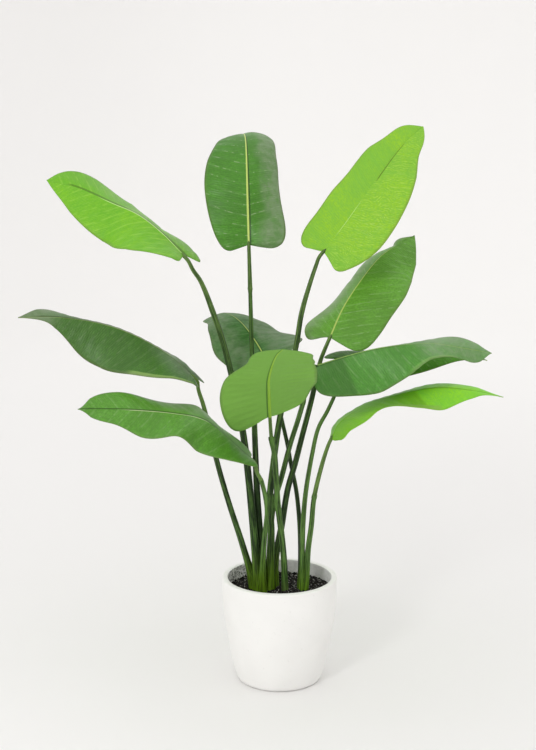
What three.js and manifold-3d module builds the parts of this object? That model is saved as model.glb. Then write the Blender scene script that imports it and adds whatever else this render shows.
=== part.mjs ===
// Potted bird of paradise: eleven paddle leaves on long stalks, standing in a plain white pot.
// Millimetres, +Z up. The origin is the middle of the pot's underside, and the front is towards -Y.

import * as THREE from 'three';
import { mergeVertices } from 'three/addons/utils/BufferGeometryUtils.js';
import Module from 'manifold-3d';

const wasm = await Module();
wasm.setup();

// Driving dimensions
const GAP = 0.4;                 // clearance between two pieces that touch
const POT_HEIGHT = 232;
const POT_RADIUS = 125;          // outside, at the rim
const POT_FOOT_RADIUS = 87;      // flat ring and floor that it stands on
const POT_WALL = 12;
const POT_FLOOR = 14;
const SOIL_LEVEL = 204;
const SOIL_BUMP = 1.6;           // half height of the uneven surface
const STEM_DEPTH = 34;           // how far a stem stands in the soil
const FOOT_SWELL_HEIGHT = 40;
const BLADE_THICKNESS = 1.2;
const BLADE_END = 3;             // half width of the blade where it leaves the stalk
const BLADE_BACK = 1.6;          // how far the blade's lobes reach back beside the stalk's end
const BLADE_FLAT = 24;           // a half narrower than this flattens out towards the ends of the blade
const NECK = 16;                 // the last stretch of a stalk, in line with the midrib
const BLADE_TIP = 1.2;           // half width at the very tip
const RIB_HALF = 4;              // half width of the midrib under the blade
const RIB_DEPTH = 3.4;           // how far the midrib stands out, next to the stalk
const SOCKET_LENGTH = 7;         // thickened end of a lower stem, which takes the leaf's own stalk
const SOCKET_SWELL = 1.1;
const STALK_SLIM = 0.95;         // thickness of a stalk against the stem that it stands in

const SIDES_ROUND = 32;          // facets round the pot
const SIDES_STEM = 8;
const BLADE_ROWS = 18;           // side veins in each half of a blade
const BLADE_COLUMNS = 4;         // strips from the midrib to the margin

// How much thicker the stems of each clump are where they leave the soil
const FOOT_SWELL = { left_clump: 0.75, right_clump: 0.25, front_stem: 0.1 };

const COLOURS = { lime: 0x7cb83c, leaf: 0x4f943b, deep: 0x3d6e30, stalk: 0x5c6b2e, stem: 0x35502a };

// Half of a blade, from the stalk to the tip. A side vein leaves the midrib at root and ends on the
// margin at reach, both as shares of the midrib's length. Out is its share of the half's width.
const ROOT = [0, 0.002, 0.006, 0.020, 0.055, 0.120, 0.215, 0.325, 0.450, 0.585, 0.725, 0.870, 1];
const REACH = [-0.004, -0.022, -0.030, -0.010, 0.045, 0.135, 0.245, 0.365, 0.495, 0.625, 0.755, 0.885, 1];
const OUT = [0, 0.30, 0.52, 0.70, 0.84, 0.935, 0.99, 1, 0.935, 0.79, 0.56, 0.26, 0];
const VEIN_BEND = 1.6;           // how late a side vein turns towards the tip
const LOBE_END = 0.36;           // the rounded lobe beside the stalk takes this share of the margin

// The leaves. rib is the midrib from the stalk to the tip, and face is the way its upper side looks,
// from base to tip. Each half has its width in mm and its rise in degrees above (or below) that face,
// both at equal steps along the midrib, its curl in degrees and the share by which its lobe runs back.
// stem is the route up from the soil, foot and top are its radii, joint is the height of the socket, and
// slim is the stalk's thickness against the stem where it isn't the usual one.
const LEAVES = [
  { name: 'upper_left', colour: 'lime', clump: 'left_clump', foot: 9, top: 5.7, joint: 640,
    rib: [[-204, 20, 931], [-250, 35, 977], [-300, 50, 1014], [-356, 65, 1037], [-430, 85, 1067],
      [-498, 100, 1083]],
    face: [[0.1, -0.1, 1], [0.1, -0.35, 1], [0.1, -0.8, 0.6], [0.1, -0.9, 0.5], [0.1, -0.9, 0.5]],
    left: { width: [80, 101, 93, 106, 148], rise: [4, -12, -12, -2, 0], curl: -20, lobe: 0 },
    right: { width: [73, 75, 82, 101, 190], rise: [-1, -30, -50, -32, 8], curl: -20, lobe: 0.056 },
    wave: { height: 2, count: 2 },
    stem: [[-44, -4, 198], [-48, -4, 239], [-59, -2, 368], [-67, 0, 455], [-79, 4, 554], [-115, 12, 727],
      [-143, 16, 815], [-167, 18, 876], [-183, 19, 900]] },
  { name: 'top', colour: 'leaf', clump: 'left_clump', foot: 9, top: 3.6, joint: 862, slim: 1.28,
    rib: [[-65, 0, 956], [-67, 8, 1024], [-69, 30, 1094], [-71, 72, 1146], [-74, 120, 1174],
      [-79, 175, 1179], [-85, 225, 1170]],
    face: [[0, -1, 0.2], [0, -1, 0.4], [0, -0.7, 1], [0, 0, 1]],
    left: { width: [80, 86, 90, 91, 89, 110, 190], rise: [0, -5, -8, -11], curl: -20, lobe: 0.004 },
    right: { width: [99, 86, 82, 87, 97, 150, 290], rise: [0, -28, -32, -14, -3], curl: -50,
      lobe: -0.004 },
    wave: { height: 1.5, count: 2 },
    stem: [[-37, 15, 191], [-38, 15, 230], [-43, 15, 321], [-49, 14, 423], [-54, 12, 564], [-60, 8, 754],
      [-62, 4, 842]] },
  { name: 'upper_right', colour: 'lime', clump: 'left_clump', foot: 8.2, top: 5.3, joint: 670,
    rib: [[92, 20, 939], [135, 40, 992], [195, 70, 1073], [237, 95, 1128], [272, 120, 1166],
      [309, 140, 1195]],
    face: [[-0.2, -1, 0.5], [-0.2, -1, 0.6], [-0.2, -1, 0.6]],
    left: { width: [78, 67, 66, 64, 77, 104, 240], rise: [5, 5, 5, 5], curl: -10, lobe: 0.014 },
    right: { width: [89, 96, 96, 97, 99, 110, 230], rise: [-5, 0, 0, 0], curl: -15, lobe: 0.024 },
    wave: { height: 2, count: 2 },
    stem: [[-22, 2, 195], [-21, 2, 234], [-18, 3, 332], [-21, 4, 404], [-15, 4, 470], [3, 6, 598],
      [35, 12, 740], [46, 15, 808], [65, 18, 876], [76, 19, 909]] },
  { name: 'middle_right', colour: 'leaf', clump: 'left_clump', foot: 7.3, top: 5, joint: 660,
    rib: [[108, 40, 753], [138, 75, 813], [180, 110, 871], [222, 146, 915], [262, 173, 938],
      [301, 200, 955]],
    face: [[-0.1, -1, 0.4], [-0.1, -1, 0.5], [0, -1, 0.6]],
    left: { width: [80, 68, 90, 92, 30], rise: [-10, -54, -64, -62, -75], curl: -30, lobe: 0.03 },
    right: { width: [106, 103, 101, 110, 126, 173, 230], rise: [0, 0], curl: -15, lobe: 0 },
    wave: { height: 2, count: 2 },
    stem: [[-13, 16, 190], [-9, 18, 263], [5, 20, 341], [18, 22, 422], [34, 25, 479], [48, 28, 535],
      [69, 34, 618], [87, 38, 700]] },
  { name: 'back', colour: 'deep', clump: 'right_clump', foot: 5.3, top: 3.9, joint: 610,
    rib: [[-29, 60, 701], [-51, 110, 730], [-77, 160, 758], [-102, 210, 772], [-126, 260, 773],
      [-144, 305, 760], [-151, 327, 750]],
    face: [[0, -0.6, 1], [0, -0.5, 1], [-0.2, 0, 1], [-0.5, 0.5, 1]],
    left: { width: [92, 92, 82, 90, 220], rise: [-20, -14, -8, -10], curl: -20, lobe: 0 },
    right: { width: [108, 102, 92, 92], rise: [14, -6, -28, -22, -23, -28], curl: -10, lobe: 0 },
    wave: { height: 4, count: 2.4 },
    stem: [[45, 6, 193], [46, 11, 265], [44, 23, 340], [37, 34, 412], [26, 42, 467], [17, 48, 516],
      [6, 54, 564], [-10, 58, 635]] },
  { name: 'front', colour: 'leaf', clump: 'front_stem', foot: 7.1, top: 5.9, joint: 556, slim: 0.7,
    rib: [[-21, -60, 602], [-23, -130, 666], [-23, -200, 709], [-16, -270, 752], [-8, -330, 782],
      [2, -375, 800]],
    face: [[-0.4, 0.7, 0.8], [-0.2, 0.5, 1], [0, 0.3, 1], [0, 0.2, 1]],
    left: { width: [96, 94, 95, 99, 108, 127, 215, 540], rise: [2, -3, 0, 0], curl: -10, lobe: -0.022 },
    right: { width: [108, 104, 96, 88, 230], rise: [-6, -4, 0, 0], curl: -10, lobe: 0.012 },
    wave: { height: 3, count: 2 },
    stem: [[12, -12, 200], [10, -17, 266], [5, -25, 326], [-4, -35, 404], [-8, -43, 467], [-12, -51, 524],
      [-17, -54, 547]] },
  { name: 'middle_left', colour: 'deep', clump: 'left_clump', foot: 6.9, top: 5, joint: 545,
    rib: [[-186, -10, 678], [-227, -15, 719], [-297, -25, 764], [-369, -35, 793], [-457, -45, 809],
      [-541, -60, 811]],
    face: [[0.1, -0.1, 1], [0.1, -0.2, 1], [0.1, -0.3, 1], [0.1, -0.5, 1]],
    left: { width: [84, 97, 97, 101, 98, 46, 30], rise: [4, -16, -32, -50, -60, -55, -40], curl: -30,
      lobe: 0.015 },
    right: { width: [82, 81, 80, 84, 130], rise: [-5, -19, -25, -20, 27], curl: -20, lobe: 0.066 },
    wave: { height: 1.5, count: 2 },
    stem: [[-55, 4, 195], [-62, 2, 234], [-82, 0, 308], [-111, -3, 403], [-136, -6, 497], [-162, -8, 613],
      [-173, -9, 650]] },
  { name: 'lower_left', colour: 'leaf', clump: 'left_clump', foot: 6.2, top: 4.2, joint: 466,
    rib: [[-63, -80, 516], [-106, -95, 561], [-156, -115, 606], [-221, -130, 624], [-314, -155, 637],
      [-407, -176, 643]],
    face: [[0.1, -0.1, 1], [0.1, -0.1, 1]],
    left: { width: [96, 90, 76, 82, 82, 96, 230], rise: [6, -16, -42, -20, -46, -35, -20], curl: -25,
      lobe: -0.025 },
    right: { width: [74, 72, 70, 72, 78, 108, 220], rise: [5, 2, 3, 1, 14, 35, 50], curl: -20, lobe: 0 },
    wave: { height: 2, count: 2.5 },
    stem: [[-37, -16, 202], [-36, -24, 269], [-32, -35, 335], [-27, -43, 388], [-31, -56, 428],
      [-40, -66, 466], [-48, -72, 484]] },
  { name: 'right', colour: 'leaf', clump: 'left_clump', foot: 6.5, top: 4.8, joint: 625,
    rib: [[72, -30, 703], [145, -33, 727], [219, -36, 745], [313, -38, 753], [380, -40, 744],
      [442, -42, 733]],
    face: [[0, -0.2, 1], [0, -0.2, 1], [0, -0.3, 1]],
    left: { width: [78, 78, 77, 92, 170], rise: [-30, -29, -28, -26, -16, 6, 8], curl: -20, lobe: 0 },
    right: { width: [88, 90, 92, 82, 74, 72, 260], rise: [-70, -75, -66, -46, -12, -34, -50], curl: -20,
      lobe: 0 },
    wave: { height: 1.2, count: 2 },
    stem: [[-24, 14, 191], [-21, 11, 290], [-18, 8, 350], [-11, 5, 400], [3, 0, 450], [23, -6, 530],
      [40, -12, 587], [53, -18, 640]] },
  { name: 'lower_right', colour: 'lime', clump: 'right_clump', foot: 6.6, top: 4.6, joint: 414,
    rib: [[112, 0, 542], [127, 5, 572], [163, 15, 598], [211, 25, 619], [325, 45, 641], [413, 55, 634],
      [487, 65, 617]],
    face: [[0, 0, 1], [0, 0, 1], [0, -0.1, 1]],
    left: { width: [67, 79, 86], rise: [-18, -17, -14, -1, 18], curl: -20, lobe: -0.02 },
    right: { width: [70, 84, 60, 72, 81, 62, 60], rise: [0, -2, -4, -22, -38, -26, -10], curl: -10,
      lobe: -0.035 },
    wave: { height: 1.2, count: 2 },
    stem: [[55, -5, 198], [59, -4, 236], [62, -3, 291], [69, -2, 348], [74, -1, 405], [90, 0, 478]] },
  { name: 'behind_right', colour: 'leaf', clump: 'right_clump', foot: 6.4, top: 3.5, joint: 645,
    rib: [[141, 60, 699], [201, 80, 711], [285, 95, 717], [374, 110, 710], [458, 120, 688]],
    face: [[0, -0.2, 1], [0, -0.2, 1]],
    left: { width: [86, 77, 80], rise: [-5, -20, -20, -14, -10], curl: -20, lobe: 0.06 },
    right: { width: [80, 80, 80], rise: [-30, -28, -22, -6, 0], curl: -20, lobe: 0 },
    wave: { height: 1.2, count: 2 },
    stem: [[48, -4, 198], [49, 0, 258], [51, 8, 345], [57, 18, 416], [71, 30, 499], [84, 40, 553],
      [106, 48, 594], [127, 56, 647]] },
];

const vector = (p) => new THREE.Vector3(...p);

// A value read smoothly from a list of equally spaced ones, at t from 0 to 1.
function ease(list, t) {
  if (list.length === 1) return list[0];
  const place = THREE.MathUtils.clamp(t, 0, 1) * (list.length - 1);
  const i = Math.min(Math.floor(place), list.length - 2);
  const s = place - i;
  const [b, c] = [list[i], list[i + 1]];
  const a = i > 0 ? list[i - 1] : 2 * b - c;
  const d = i + 2 < list.length ? list[i + 2] : 2 * c - b;
  const start = 0.5 * (c - a);
  const end = 0.5 * (d - b);
  const cubic = 2 * b - 2 * c + start + end;
  const square = 3 * c - 3 * b - 2 * start - end;
  return cubic * s ** 3 + square * s ** 2 + start * s + b;
}

function smoothCurve(points, kind = 'catmullrom') {
  const curve = new THREE.CatmullRomCurve3(points.map(vector), false, kind, 0.5);
  curve.arcLengthDivisions = 400;
  return curve;
}

// A closed mesh from its points and triangles.
function closedGeometry(points, triangles) {
  const geometry = new THREE.BufferGeometry().setFromPoints(points);
  geometry.setIndex(triangles);
  return geometry;
}

// Midrib frame at share u: its place, the way it runs, the way its face looks, and its right-hand side.
function ribFrame(leaf, curve, u) {
  const share = THREE.MathUtils.clamp(u, 0, 1);
  const along = curve.getTangentAt(share);
  const place = curve.getPointAt(share).addScaledVector(along, Math.min(u, 0) * curve.getLength());
  const step = share * (leaf.face.length - 1);
  const i = Math.min(Math.floor(step), leaf.face.length - 2);
  const up = vector(leaf.face[i]).lerp(vector(leaf.face[i + 1]), step - i);
  up.addScaledVector(along, -up.dot(along)).normalize();
  return { place, along, up, side: along.clone().cross(up) };
}

// One point of a half blade, and the way the blade faces there. sign is -1 for the left half.
function bladePoint(leaf, curve, half, sign, row, share) {
  const t = row / (BLADE_ROWS - 1);
  const lobe = half.lobe * Math.sin(Math.PI * Math.min(t / LOBE_END, 1)) ** 2;
  const root = ease(ROOT, t);
  const reach = ease(REACH, t) - lobe;
  const end = THREE.MathUtils.clamp(ease(REACH, t), 0, 1);
  const least = THREE.MathUtils.lerp(BLADE_END, BLADE_TIP, t);
  const width = Math.max(ease(half.width, end) * ease(OUT, t), least);
  const curl = THREE.MathUtils.degToRad(half.curl);
  const rise = THREE.MathUtils.degToRad(ease(half.rise, end)) * Math.min(width / BLADE_FLAT, 1) ** 2;
  const start = rise - curl / 2;
  const rib = Math.min(RIB_HALF * (1 - 0.6 * t), width / 2) / width;
  const v = share === 0 ? 0 : rib + (1 - rib) * (share - 1) / (BLADE_COLUMNS - 1);
  const turn = start + curl * v;
  const frame = ribFrame(leaf, curve, root + (reach - root) * v ** VEIN_BEND);
  const across = width * (Math.sin(turn) - Math.sin(start)) / curl;
  const above = width * (Math.cos(start) - Math.cos(turn)) / curl;
  const phase = 2 * Math.PI * (leaf.wave.count * end + (sign < 0 ? 0 : 0.3));
  const ripple = leaf.wave.height * v ** 1.4 * Math.sin(phase) * Math.min(width / 50, 1);
  const point = frame.place.addScaledVector(frame.side, sign * across);
  point.addScaledVector(frame.up, above + ripple);
  const out = share === 0 ? 0 : Math.sin(turn);
  const normal = frame.up.clone().multiplyScalar(Math.cos(share === 0 ? 0 : turn));
  normal.addScaledVector(frame.side, -sign * out).normalize();
  return { point, normal };
}

// The blade: an upper and a lower sheet that share their margins, with the midrib raised underneath.
function bladeGeometry(leaf) {
  const curve = smoothCurve(leaf.rib);
  const width = 2 * BLADE_COLUMNS + 1;
  const upper = [];
  const lower = [];
  for (let row = 0; row < BLADE_ROWS; row++) {
    const ribDepth = THREE.MathUtils.lerp(RIB_DEPTH, 0.6, row / (BLADE_ROWS - 1));
    for (let column = -BLADE_COLUMNS; column <= BLADE_COLUMNS; column++) {
      const [half, sign] = column < 0 ? [leaf.left, -1] : [leaf.right, 1];
      const { point, normal } = bladePoint(leaf, curve, half, sign, row, Math.abs(column));
      const depth = BLADE_THICKNESS + (column === 0 ? ribDepth : 0);
      upper.push(point);
      lower.push(point.clone().addScaledVector(normal, -depth));
    }
  }
  const count = upper.length;
  const triangles = [];
  const quad = (a, b, c, d) => triangles.push(a, b, c, a, c, d);
  for (let row = 0; row < BLADE_ROWS - 1; row++) {
    for (let column = 0; column < width - 1; column++) {
      const a = row * width + column;
      const d = a + width;
      // both sheets are split along the same diagonal
      quad(a, a + 1, d + 1, d);
      quad(count + a, count + d, count + d + 1, count + a + 1);
    }
  }
  const rim = [];
  for (let column = 0; column < width - 1; column++) rim.push(column);
  for (let row = 0; row < BLADE_ROWS - 1; row++) rim.push(row * width + width - 1);
  for (let column = width - 1; column > 0; column--) rim.push((BLADE_ROWS - 1) * width + column);
  for (let row = BLADE_ROWS - 1; row > 0; row--) rim.push(row * width);
  rim.forEach((a, i) => {
    const b = rim[(i + 1) % rim.length];
    quad(b, a, count + a, count + b);
  });
  return closedGeometry([...upper, ...lower], triangles);
}

// A round closed tube along part of a curve. radiusAt gives its radius at each place on the curve.
function tubeGeometry(curve, from, to, steps, radiusAt, endAlong = null) {
  const points = [];
  const triangles = [];
  let across = null;
  for (let step = 0; step <= steps; step++) {
    const u = THREE.MathUtils.lerp(from, to, step / steps);
    const along = step === steps && endAlong ? endAlong.clone() : curve.getTangentAt(u);
    across = across ?? new THREE.Vector3(1, 0, 0);
    across.addScaledVector(along, -across.dot(along)).normalize();
    const other = along.clone().cross(across);
    const centre = curve.getPointAt(u);
    const radius = radiusAt(u, centre);
    for (let side = 0; side < SIDES_STEM; side++) {
      const angle = (2 * Math.PI * side) / SIDES_STEM;
      points.push(centre.clone().addScaledVector(across, radius * Math.cos(angle))
        .addScaledVector(other, radius * Math.sin(angle)));
    }
  }
  const ring = (step, side) => step * SIDES_STEM + (side % SIDES_STEM);
  for (let step = 0; step < steps; step++) {
    for (let side = 0; side < SIDES_STEM; side++) {
      const [a, b] = [ring(step, side), ring(step, side + 1)];
      const [c, d] = [ring(step + 1, side + 1), ring(step + 1, side)];
      triangles.push(a, b, c, a, c, d);
    }
  }
  for (let side = 1; side < SIDES_STEM - 1; side++) {
    triangles.push(0, side + 1, side);
    triangles.push(ring(steps, 0), ring(steps, side), ring(steps, side + 1));
  }
  return closedGeometry(points, triangles);
}

function toSolid(geometry) {
  const bare = geometry.index ? geometry.clone() : mergeVertices(geometry);
  bare.deleteAttribute('normal');
  bare.deleteAttribute('uv');
  const merged = mergeVertices(bare, 1e-3);
  return new wasm.Manifold(new wasm.Mesh({
    numProp: 3,
    vertProperties: new Float32Array(merged.attributes.position.array),
    triVerts: new Uint32Array(merged.index.array),
  }));
}

function fromSolid(solid) {
  const mesh = solid.getMesh();
  const geometry = new THREE.BufferGeometry();
  geometry.setAttribute('position', new THREE.BufferAttribute(new Float32Array(mesh.vertProperties), 3));
  geometry.setIndex([...mesh.triVerts]);
  return geometry;
}

const unite = (solids) => solids.reduce((sum, solid) => sum.add(solid));

// A leaf's stem from deep in the soil to the blade, and the share of it where the socket lies.
function stemOf(leaf) {
  const [x, y] = leaf.stem[0];
  const neck = vector(leaf.rib[0]).addScaledVector(smoothCurve(leaf.rib).getTangentAt(0), -NECK);
  const route = [[x, y, SOIL_LEVEL - STEM_DEPTH], ...leaf.stem, neck.toArray(), leaf.rib[0]];
  const curve = smoothCurve(route, 'centripetal');
  let joint = 0;
  while (curve.getPointAt(joint).z < leaf.joint) joint += 0.001;
  const radius = (u) => THREE.MathUtils.lerp(leaf.foot, leaf.top, u);
  return { curve, joint, length: curve.getLength(), radius };
}

// The lower stem, with its swollen sheath at the soil and the thicker socket at its upper end.
function lowerStem(leaf, extra = 0) {
  const { curve, joint, length, radius } = stemOf(leaf);
  const steps = Math.max(6, Math.round((joint * length) / 55));
  const socketFrom = joint - SOCKET_LENGTH / length;
  const foot = FOOT_SWELL[leaf.clump];
  const swell = (z) => 1 + foot * Math.exp(-Math.max(z - SOIL_LEVEL, 0) / FOOT_SWELL_HEIGHT);
  const shaftRadius = (u, p) => radius(u) * swell(p.z) + extra;
  const shaft = tubeGeometry(curve, 0, socketFrom, steps, shaftRadius);
  const from = socketFrom - 2 / length;
  const socket = tubeGeometry(curve, from, joint, 2, (u) => radius(u) * SOCKET_SWELL);
  return toSolid(shaft).add(toSolid(socket));
}

// The leaf's own stalk, from the socket to the blade. Its last ring squares up to the midrib.
function stalkGeometry(leaf) {
  const { curve, joint, length, radius } = stemOf(leaf);
  const steps = Math.max(6, Math.round(((1 - joint) * length) / 45));
  const end = 1 - (BLADE_BACK + GAP) / length;
  const endAlong = smoothCurve(leaf.rib).getTangentAt(0);
  const share = leaf.slim ?? STALK_SLIM;
  const slim = (u) => THREE.MathUtils.lerp(radius(u) * share, BLADE_END, Math.max(0, 6 * u - 5));
  return tubeGeometry(curve, joint + GAP / length, end, steps, slim, endAlong);
}

// The pot: a round wall that tapers to its foot and turns under in a soft corner.
function potProfile() {
  const outer = [[0, 0], [POT_FOOT_RADIUS, 0], [POT_FOOT_RADIUS + 5, 5], [POT_FOOT_RADIUS + 10, 20],
    [POT_FOOT_RADIUS + 18, 50], [POT_FOOT_RADIUS + 25.5, 92], [POT_RADIUS - 6, 130], [POT_RADIUS - 1.5, 170],
    [POT_RADIUS, 205], [POT_RADIUS, POT_HEIGHT - 2.5], [POT_RADIUS - 2.5, POT_HEIGHT]];
  const mouth = POT_RADIUS - POT_WALL;
  const inner = [[mouth + 2, POT_HEIGHT], [mouth, POT_HEIGHT - 3],
    ...soilSide().map(([r, z]) => [r + GAP, z]).reverse(), [0, POT_FLOOR]];
  return [...outer, ...inner];
}

// Where the filling meets the pot's inside, from the floor up.
function soilSide() {
  const mouth = POT_RADIUS - POT_WALL;
  return [[POT_FOOT_RADIUS - 5, POT_FLOOR], [POT_FOOT_RADIUS + 8, 50], [POT_FOOT_RADIUS + 15.5, 92],
    [mouth - 6, 130], [mouth - 1.5, 170], [mouth - GAP, SOIL_LEVEL]];
}

function turned(profile) {
  const points = profile.map(([r, z]) => new THREE.Vector2(r, z));
  return new THREE.LatheGeometry(points, SIDES_ROUND).rotateX(Math.PI / 2);
}

// The soil fills the pot, with an uneven top and a plain hole for each stem.
function soilGeometry(holes) {
  const side = soilSide();
  const edge = side[side.length - 1][0];
  const top = [0.8, 0.6, 0.4, 0.2].map((share) => [edge * share, SOIL_LEVEL]);
  const base = [[0, POT_FLOOR + GAP], [side[0][0], POT_FLOOR + GAP], ...side.slice(1)];
  const geometry = turned([...base, ...top, [0, SOIL_LEVEL]]);
  const place = geometry.attributes.position;
  for (let i = 0; i < place.count; i++) {
    const [x, y, z] = [place.getX(i), place.getY(i), place.getZ(i)];
    if (z < SOIL_LEVEL - 0.01 || Math.hypot(x, y) > edge - 1) continue;
    place.setZ(i, z + SOIL_BUMP * (Math.sin(x / 13 + 0.7) + Math.cos(y / 11 + x / 37)));
  }
  const pieces = toSolid(geometry).subtract(holes).decompose();
  // crumbs left between close stems are dropped
  return fromSolid(pieces.reduce((a, b) => (a.volume() > b.volume() ? a : b)));
}

const plant = new THREE.Group();

function addPiece(name, geometry, colour, roughness) {
  geometry.computeVertexNormals();
  const material = new THREE.MeshStandardMaterial({ color: colour, roughness, metalness: 0 });
  const mesh = new THREE.Mesh(geometry, material);
  mesh.name = name;
  plant.add(mesh);
}

addPiece('pot', turned(potProfile()), 0xf1f0eb, 0.7);
const holes = LEAVES.map((leaf) => lowerStem(leaf, GAP));
const deeper = holes.map((hole) => hole.translate([0, 0, -GAP]));
addPiece('soil', soilGeometry(unite([...holes, ...deeper])), 0x2b2622, 0.95);

for (const clump of new Set(LEAVES.map((leaf) => leaf.clump))) {
  const members = LEAVES.filter((leaf) => leaf.clump === clump);
  addPiece(clump, fromSolid(unite(members.map((leaf) => lowerStem(leaf)))), COLOURS.stem, 0.5);
}

for (const leaf of LEAVES) {
  addPiece(`stalk_${leaf.name}`, stalkGeometry(leaf), COLOURS.stalk, 0.5);
  addPiece(`blade_${leaf.name}`, bladeGeometry(leaf), COLOURS[leaf.colour], 0.45);
}

export default plant;
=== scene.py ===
"""Looks of a potted bird of paradise: eleven paddle leaves on long stalks in a plain white pot.

Lengths of the plant are in millimetres until a mesh or a curve is made from them. Settings, places in the
shaders and the studio are in metres.
"""

import math

import bmesh
import bpy
import numpy as np
from bpy.props import FloatProperty, FloatVectorProperty, IntProperty, PointerProperty
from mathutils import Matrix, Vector


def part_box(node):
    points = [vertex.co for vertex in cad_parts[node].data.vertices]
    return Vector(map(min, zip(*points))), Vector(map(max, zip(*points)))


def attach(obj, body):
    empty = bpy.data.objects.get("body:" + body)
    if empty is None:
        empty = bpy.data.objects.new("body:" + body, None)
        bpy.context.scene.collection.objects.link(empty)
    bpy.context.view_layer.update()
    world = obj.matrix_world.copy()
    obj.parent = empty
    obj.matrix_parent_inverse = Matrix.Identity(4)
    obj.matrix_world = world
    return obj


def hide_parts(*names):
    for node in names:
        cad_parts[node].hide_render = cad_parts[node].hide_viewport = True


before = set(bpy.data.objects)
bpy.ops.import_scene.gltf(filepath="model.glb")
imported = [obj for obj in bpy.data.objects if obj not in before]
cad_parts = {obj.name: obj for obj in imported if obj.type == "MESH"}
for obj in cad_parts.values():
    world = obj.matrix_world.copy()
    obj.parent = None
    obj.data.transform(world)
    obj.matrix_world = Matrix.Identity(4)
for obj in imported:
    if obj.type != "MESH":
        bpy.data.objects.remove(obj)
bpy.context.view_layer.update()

bl_info = {
    "name": "Potted bird of paradise",
    "version": (1, 0, 0),
    "blender": (4, 5, 0),
    "location": "View3D > Sidebar > Plant",
    "description": "Pot, soil, stems and veined leaves of a tall house plant, with a pale studio",
    "category": "Object",
}

MM = 0.001

# The pot's upper corner in metres, then the radius of its foot, the height of its floor, its wall, and
# the room between it and the soil
POT_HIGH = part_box("pot")[1]
POT_FOOT = 87
POT_FLOOR = 14
POT_WALL = 12
POT_FIT = 0.4

# The soil's highest level, how far its bed lies below, how much the bed goes up and down, and how far
# below the level a face can still hold granules
SOIL_LEVEL = 204
SOIL_DROP = 2.2
SOIL_BUMP = 1.2
SOIL_SIDES = 96
GRANULE_DEPTH = 8

# Where splashed soil thins out inside the mouth, upwards and to the right, in metres. The thinning to
# the right is painted shade: the left of the inner wall is turned away from the lamp.
SPLASH_HEIGHTS = (0.205, 0.228)
SPLASH_AND_SHADE_SIDES = (-0.085, 0.04)

# Stems stand this deep in the soil, swell where they leave it, and end in a thicker socket.
STEM_DEPTH = 34
FOOT_SWELL = {"left_clump": 0.75, "right_clump": 0.25, "front_stem": 0.1}
FOOT_SWELL_HEIGHT = 40
SOCKET_SWELL = 0.1
SOCKET_RINGS = (0, 0.6, 1.6, 5.6, 7, 8.5, 11)

# A stalk starts in the socket with its plug, has a collar above it, and its neck runs into the midrib,
# where two last rings close it: how far on, how far down, and their radii.
PLUG = 3
COLLAR_SWELL = 0.12
COLLAR_RINGS = (0, 1, 2.4, 3, 4)
NECK = 16
STALK_SLIM = 0.95
STALK_TIP = ((4.0, 12.0), (0.6, 2.4), (2.8, 0.9))

# Darkest and lightest green, the green at the foot, and the height in metres up to which that one shows
STALK_GREENS = ((0.022, 0.050, 0.014), (0.140, 0.240, 0.055), (0.2, 0.25, 0.05), 0.21)
STEM_GREENS = {
    "left_clump": ((0.014, 0.033, 0.008), (0.115, 0.235, 0.048), (0.072, 0.140, 0.005), 0.32),
    "right_clump": ((0.014, 0.033, 0.008), (0.115, 0.235, 0.048), (0.090, 0.185, 0.010), 0.27),
    "front_stem": ((0.014, 0.033, 0.008), (0.115, 0.235, 0.048), (0.075, 0.130, 0.030), 0.23),
}

# A blade's least half width at its base and its tip, the half width from which it takes its full rise,
# and the share of its thickness that it loses up to the margin
BLADE_END = 3
BLADE_TIP = 1.2
BLADE_FLAT = 24
MARGIN_THINNING = 0.45

# The midrib's half width and depth at the base, its depth at the tip, and how much it narrows. Half a
# blade is at least RIB_ROOM times as wide as half its midrib.
RIB_HALF = 4
RIB_DEPTH = 3.4
RIB_TIP_DEPTH = 0.6
RIB_TAPER = 0.6
RIB_ROOM = 2.6

# Columns of a blade at the midrib, as shares of the midrib's half width
RIB_COLUMNS = np.array([0, 0.35, 0.7, 1, 1.3])

# How far from the midrib veins and folds begin, how far from the margin they end, and the margin's edge,
# each from nothing to full
VEIN_START = (4, 12)
FOLD_START = (8, 40)
VEIN_STOP = (0, 7)
EDGE = (0.2, 1.8)

# The margin's ripples grow outwards by this power, are full from this half width on, and the right half's
# are this share of a ripple ahead
WAVE_GROWTH = 1.4
WAVE_FULL = 50
WAVE_SHIFT = 0.3

# Half of a blade: a side vein leaves the midrib at root and ends on the margin at reach, both as
# shares of the midrib's length, and out is its share of the half's width.
ROOT = [0, 0.002, 0.006, 0.020, 0.055, 0.120, 0.215, 0.325, 0.450, 0.585, 0.725, 0.870, 1]
REACH = [-0.004, -0.022, -0.030, -0.010, 0.045, 0.135, 0.245, 0.365, 0.495, 0.625, 0.755, 0.885, 1]
OUT = [0, 0.30, 0.52, 0.70, 0.84, 0.935, 0.99, 1, 0.935, 0.79, 0.56, 0.26, 0]

# How side veins bend forward, where a lobe at the base ends, the gaps between the light veins and
# between the dashes, which are painted glints, and the height of the blade's low folds and the gap
# between them
VEIN_BEND = 1.6
LOBE_END = 0.36
VEIN_PITCH = 4.8
DASH_GAP = 23
FOLD_HEIGHT = 0.35
FOLD_GAP = 23

# The studio: the radius of the floor and of its turn up into the wall, the camera and the lamp
PAPER_FLAT = 5
PAPER_BEND = 2.5
PAPER_SIDES = 96
CAMERA_PLACE = (-0.025, -3.0, 1.2635)
CAMERA_DOWN = math.radians(11.04)
CAMERA_LENS = 69.12
LAMP_PLACE = Vector((-1.5, -2.8, 1.9))
LAMP_AIM = Vector((0.05, 0, 0.6))
LAMP_SIZE = 0.7

# The wall glows more with its distance from the plant, and more on the right, in metres
GLOW_REACH = (0.5, 5.0)
GLOW_SIDES = (-1.7, 0.2)


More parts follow.
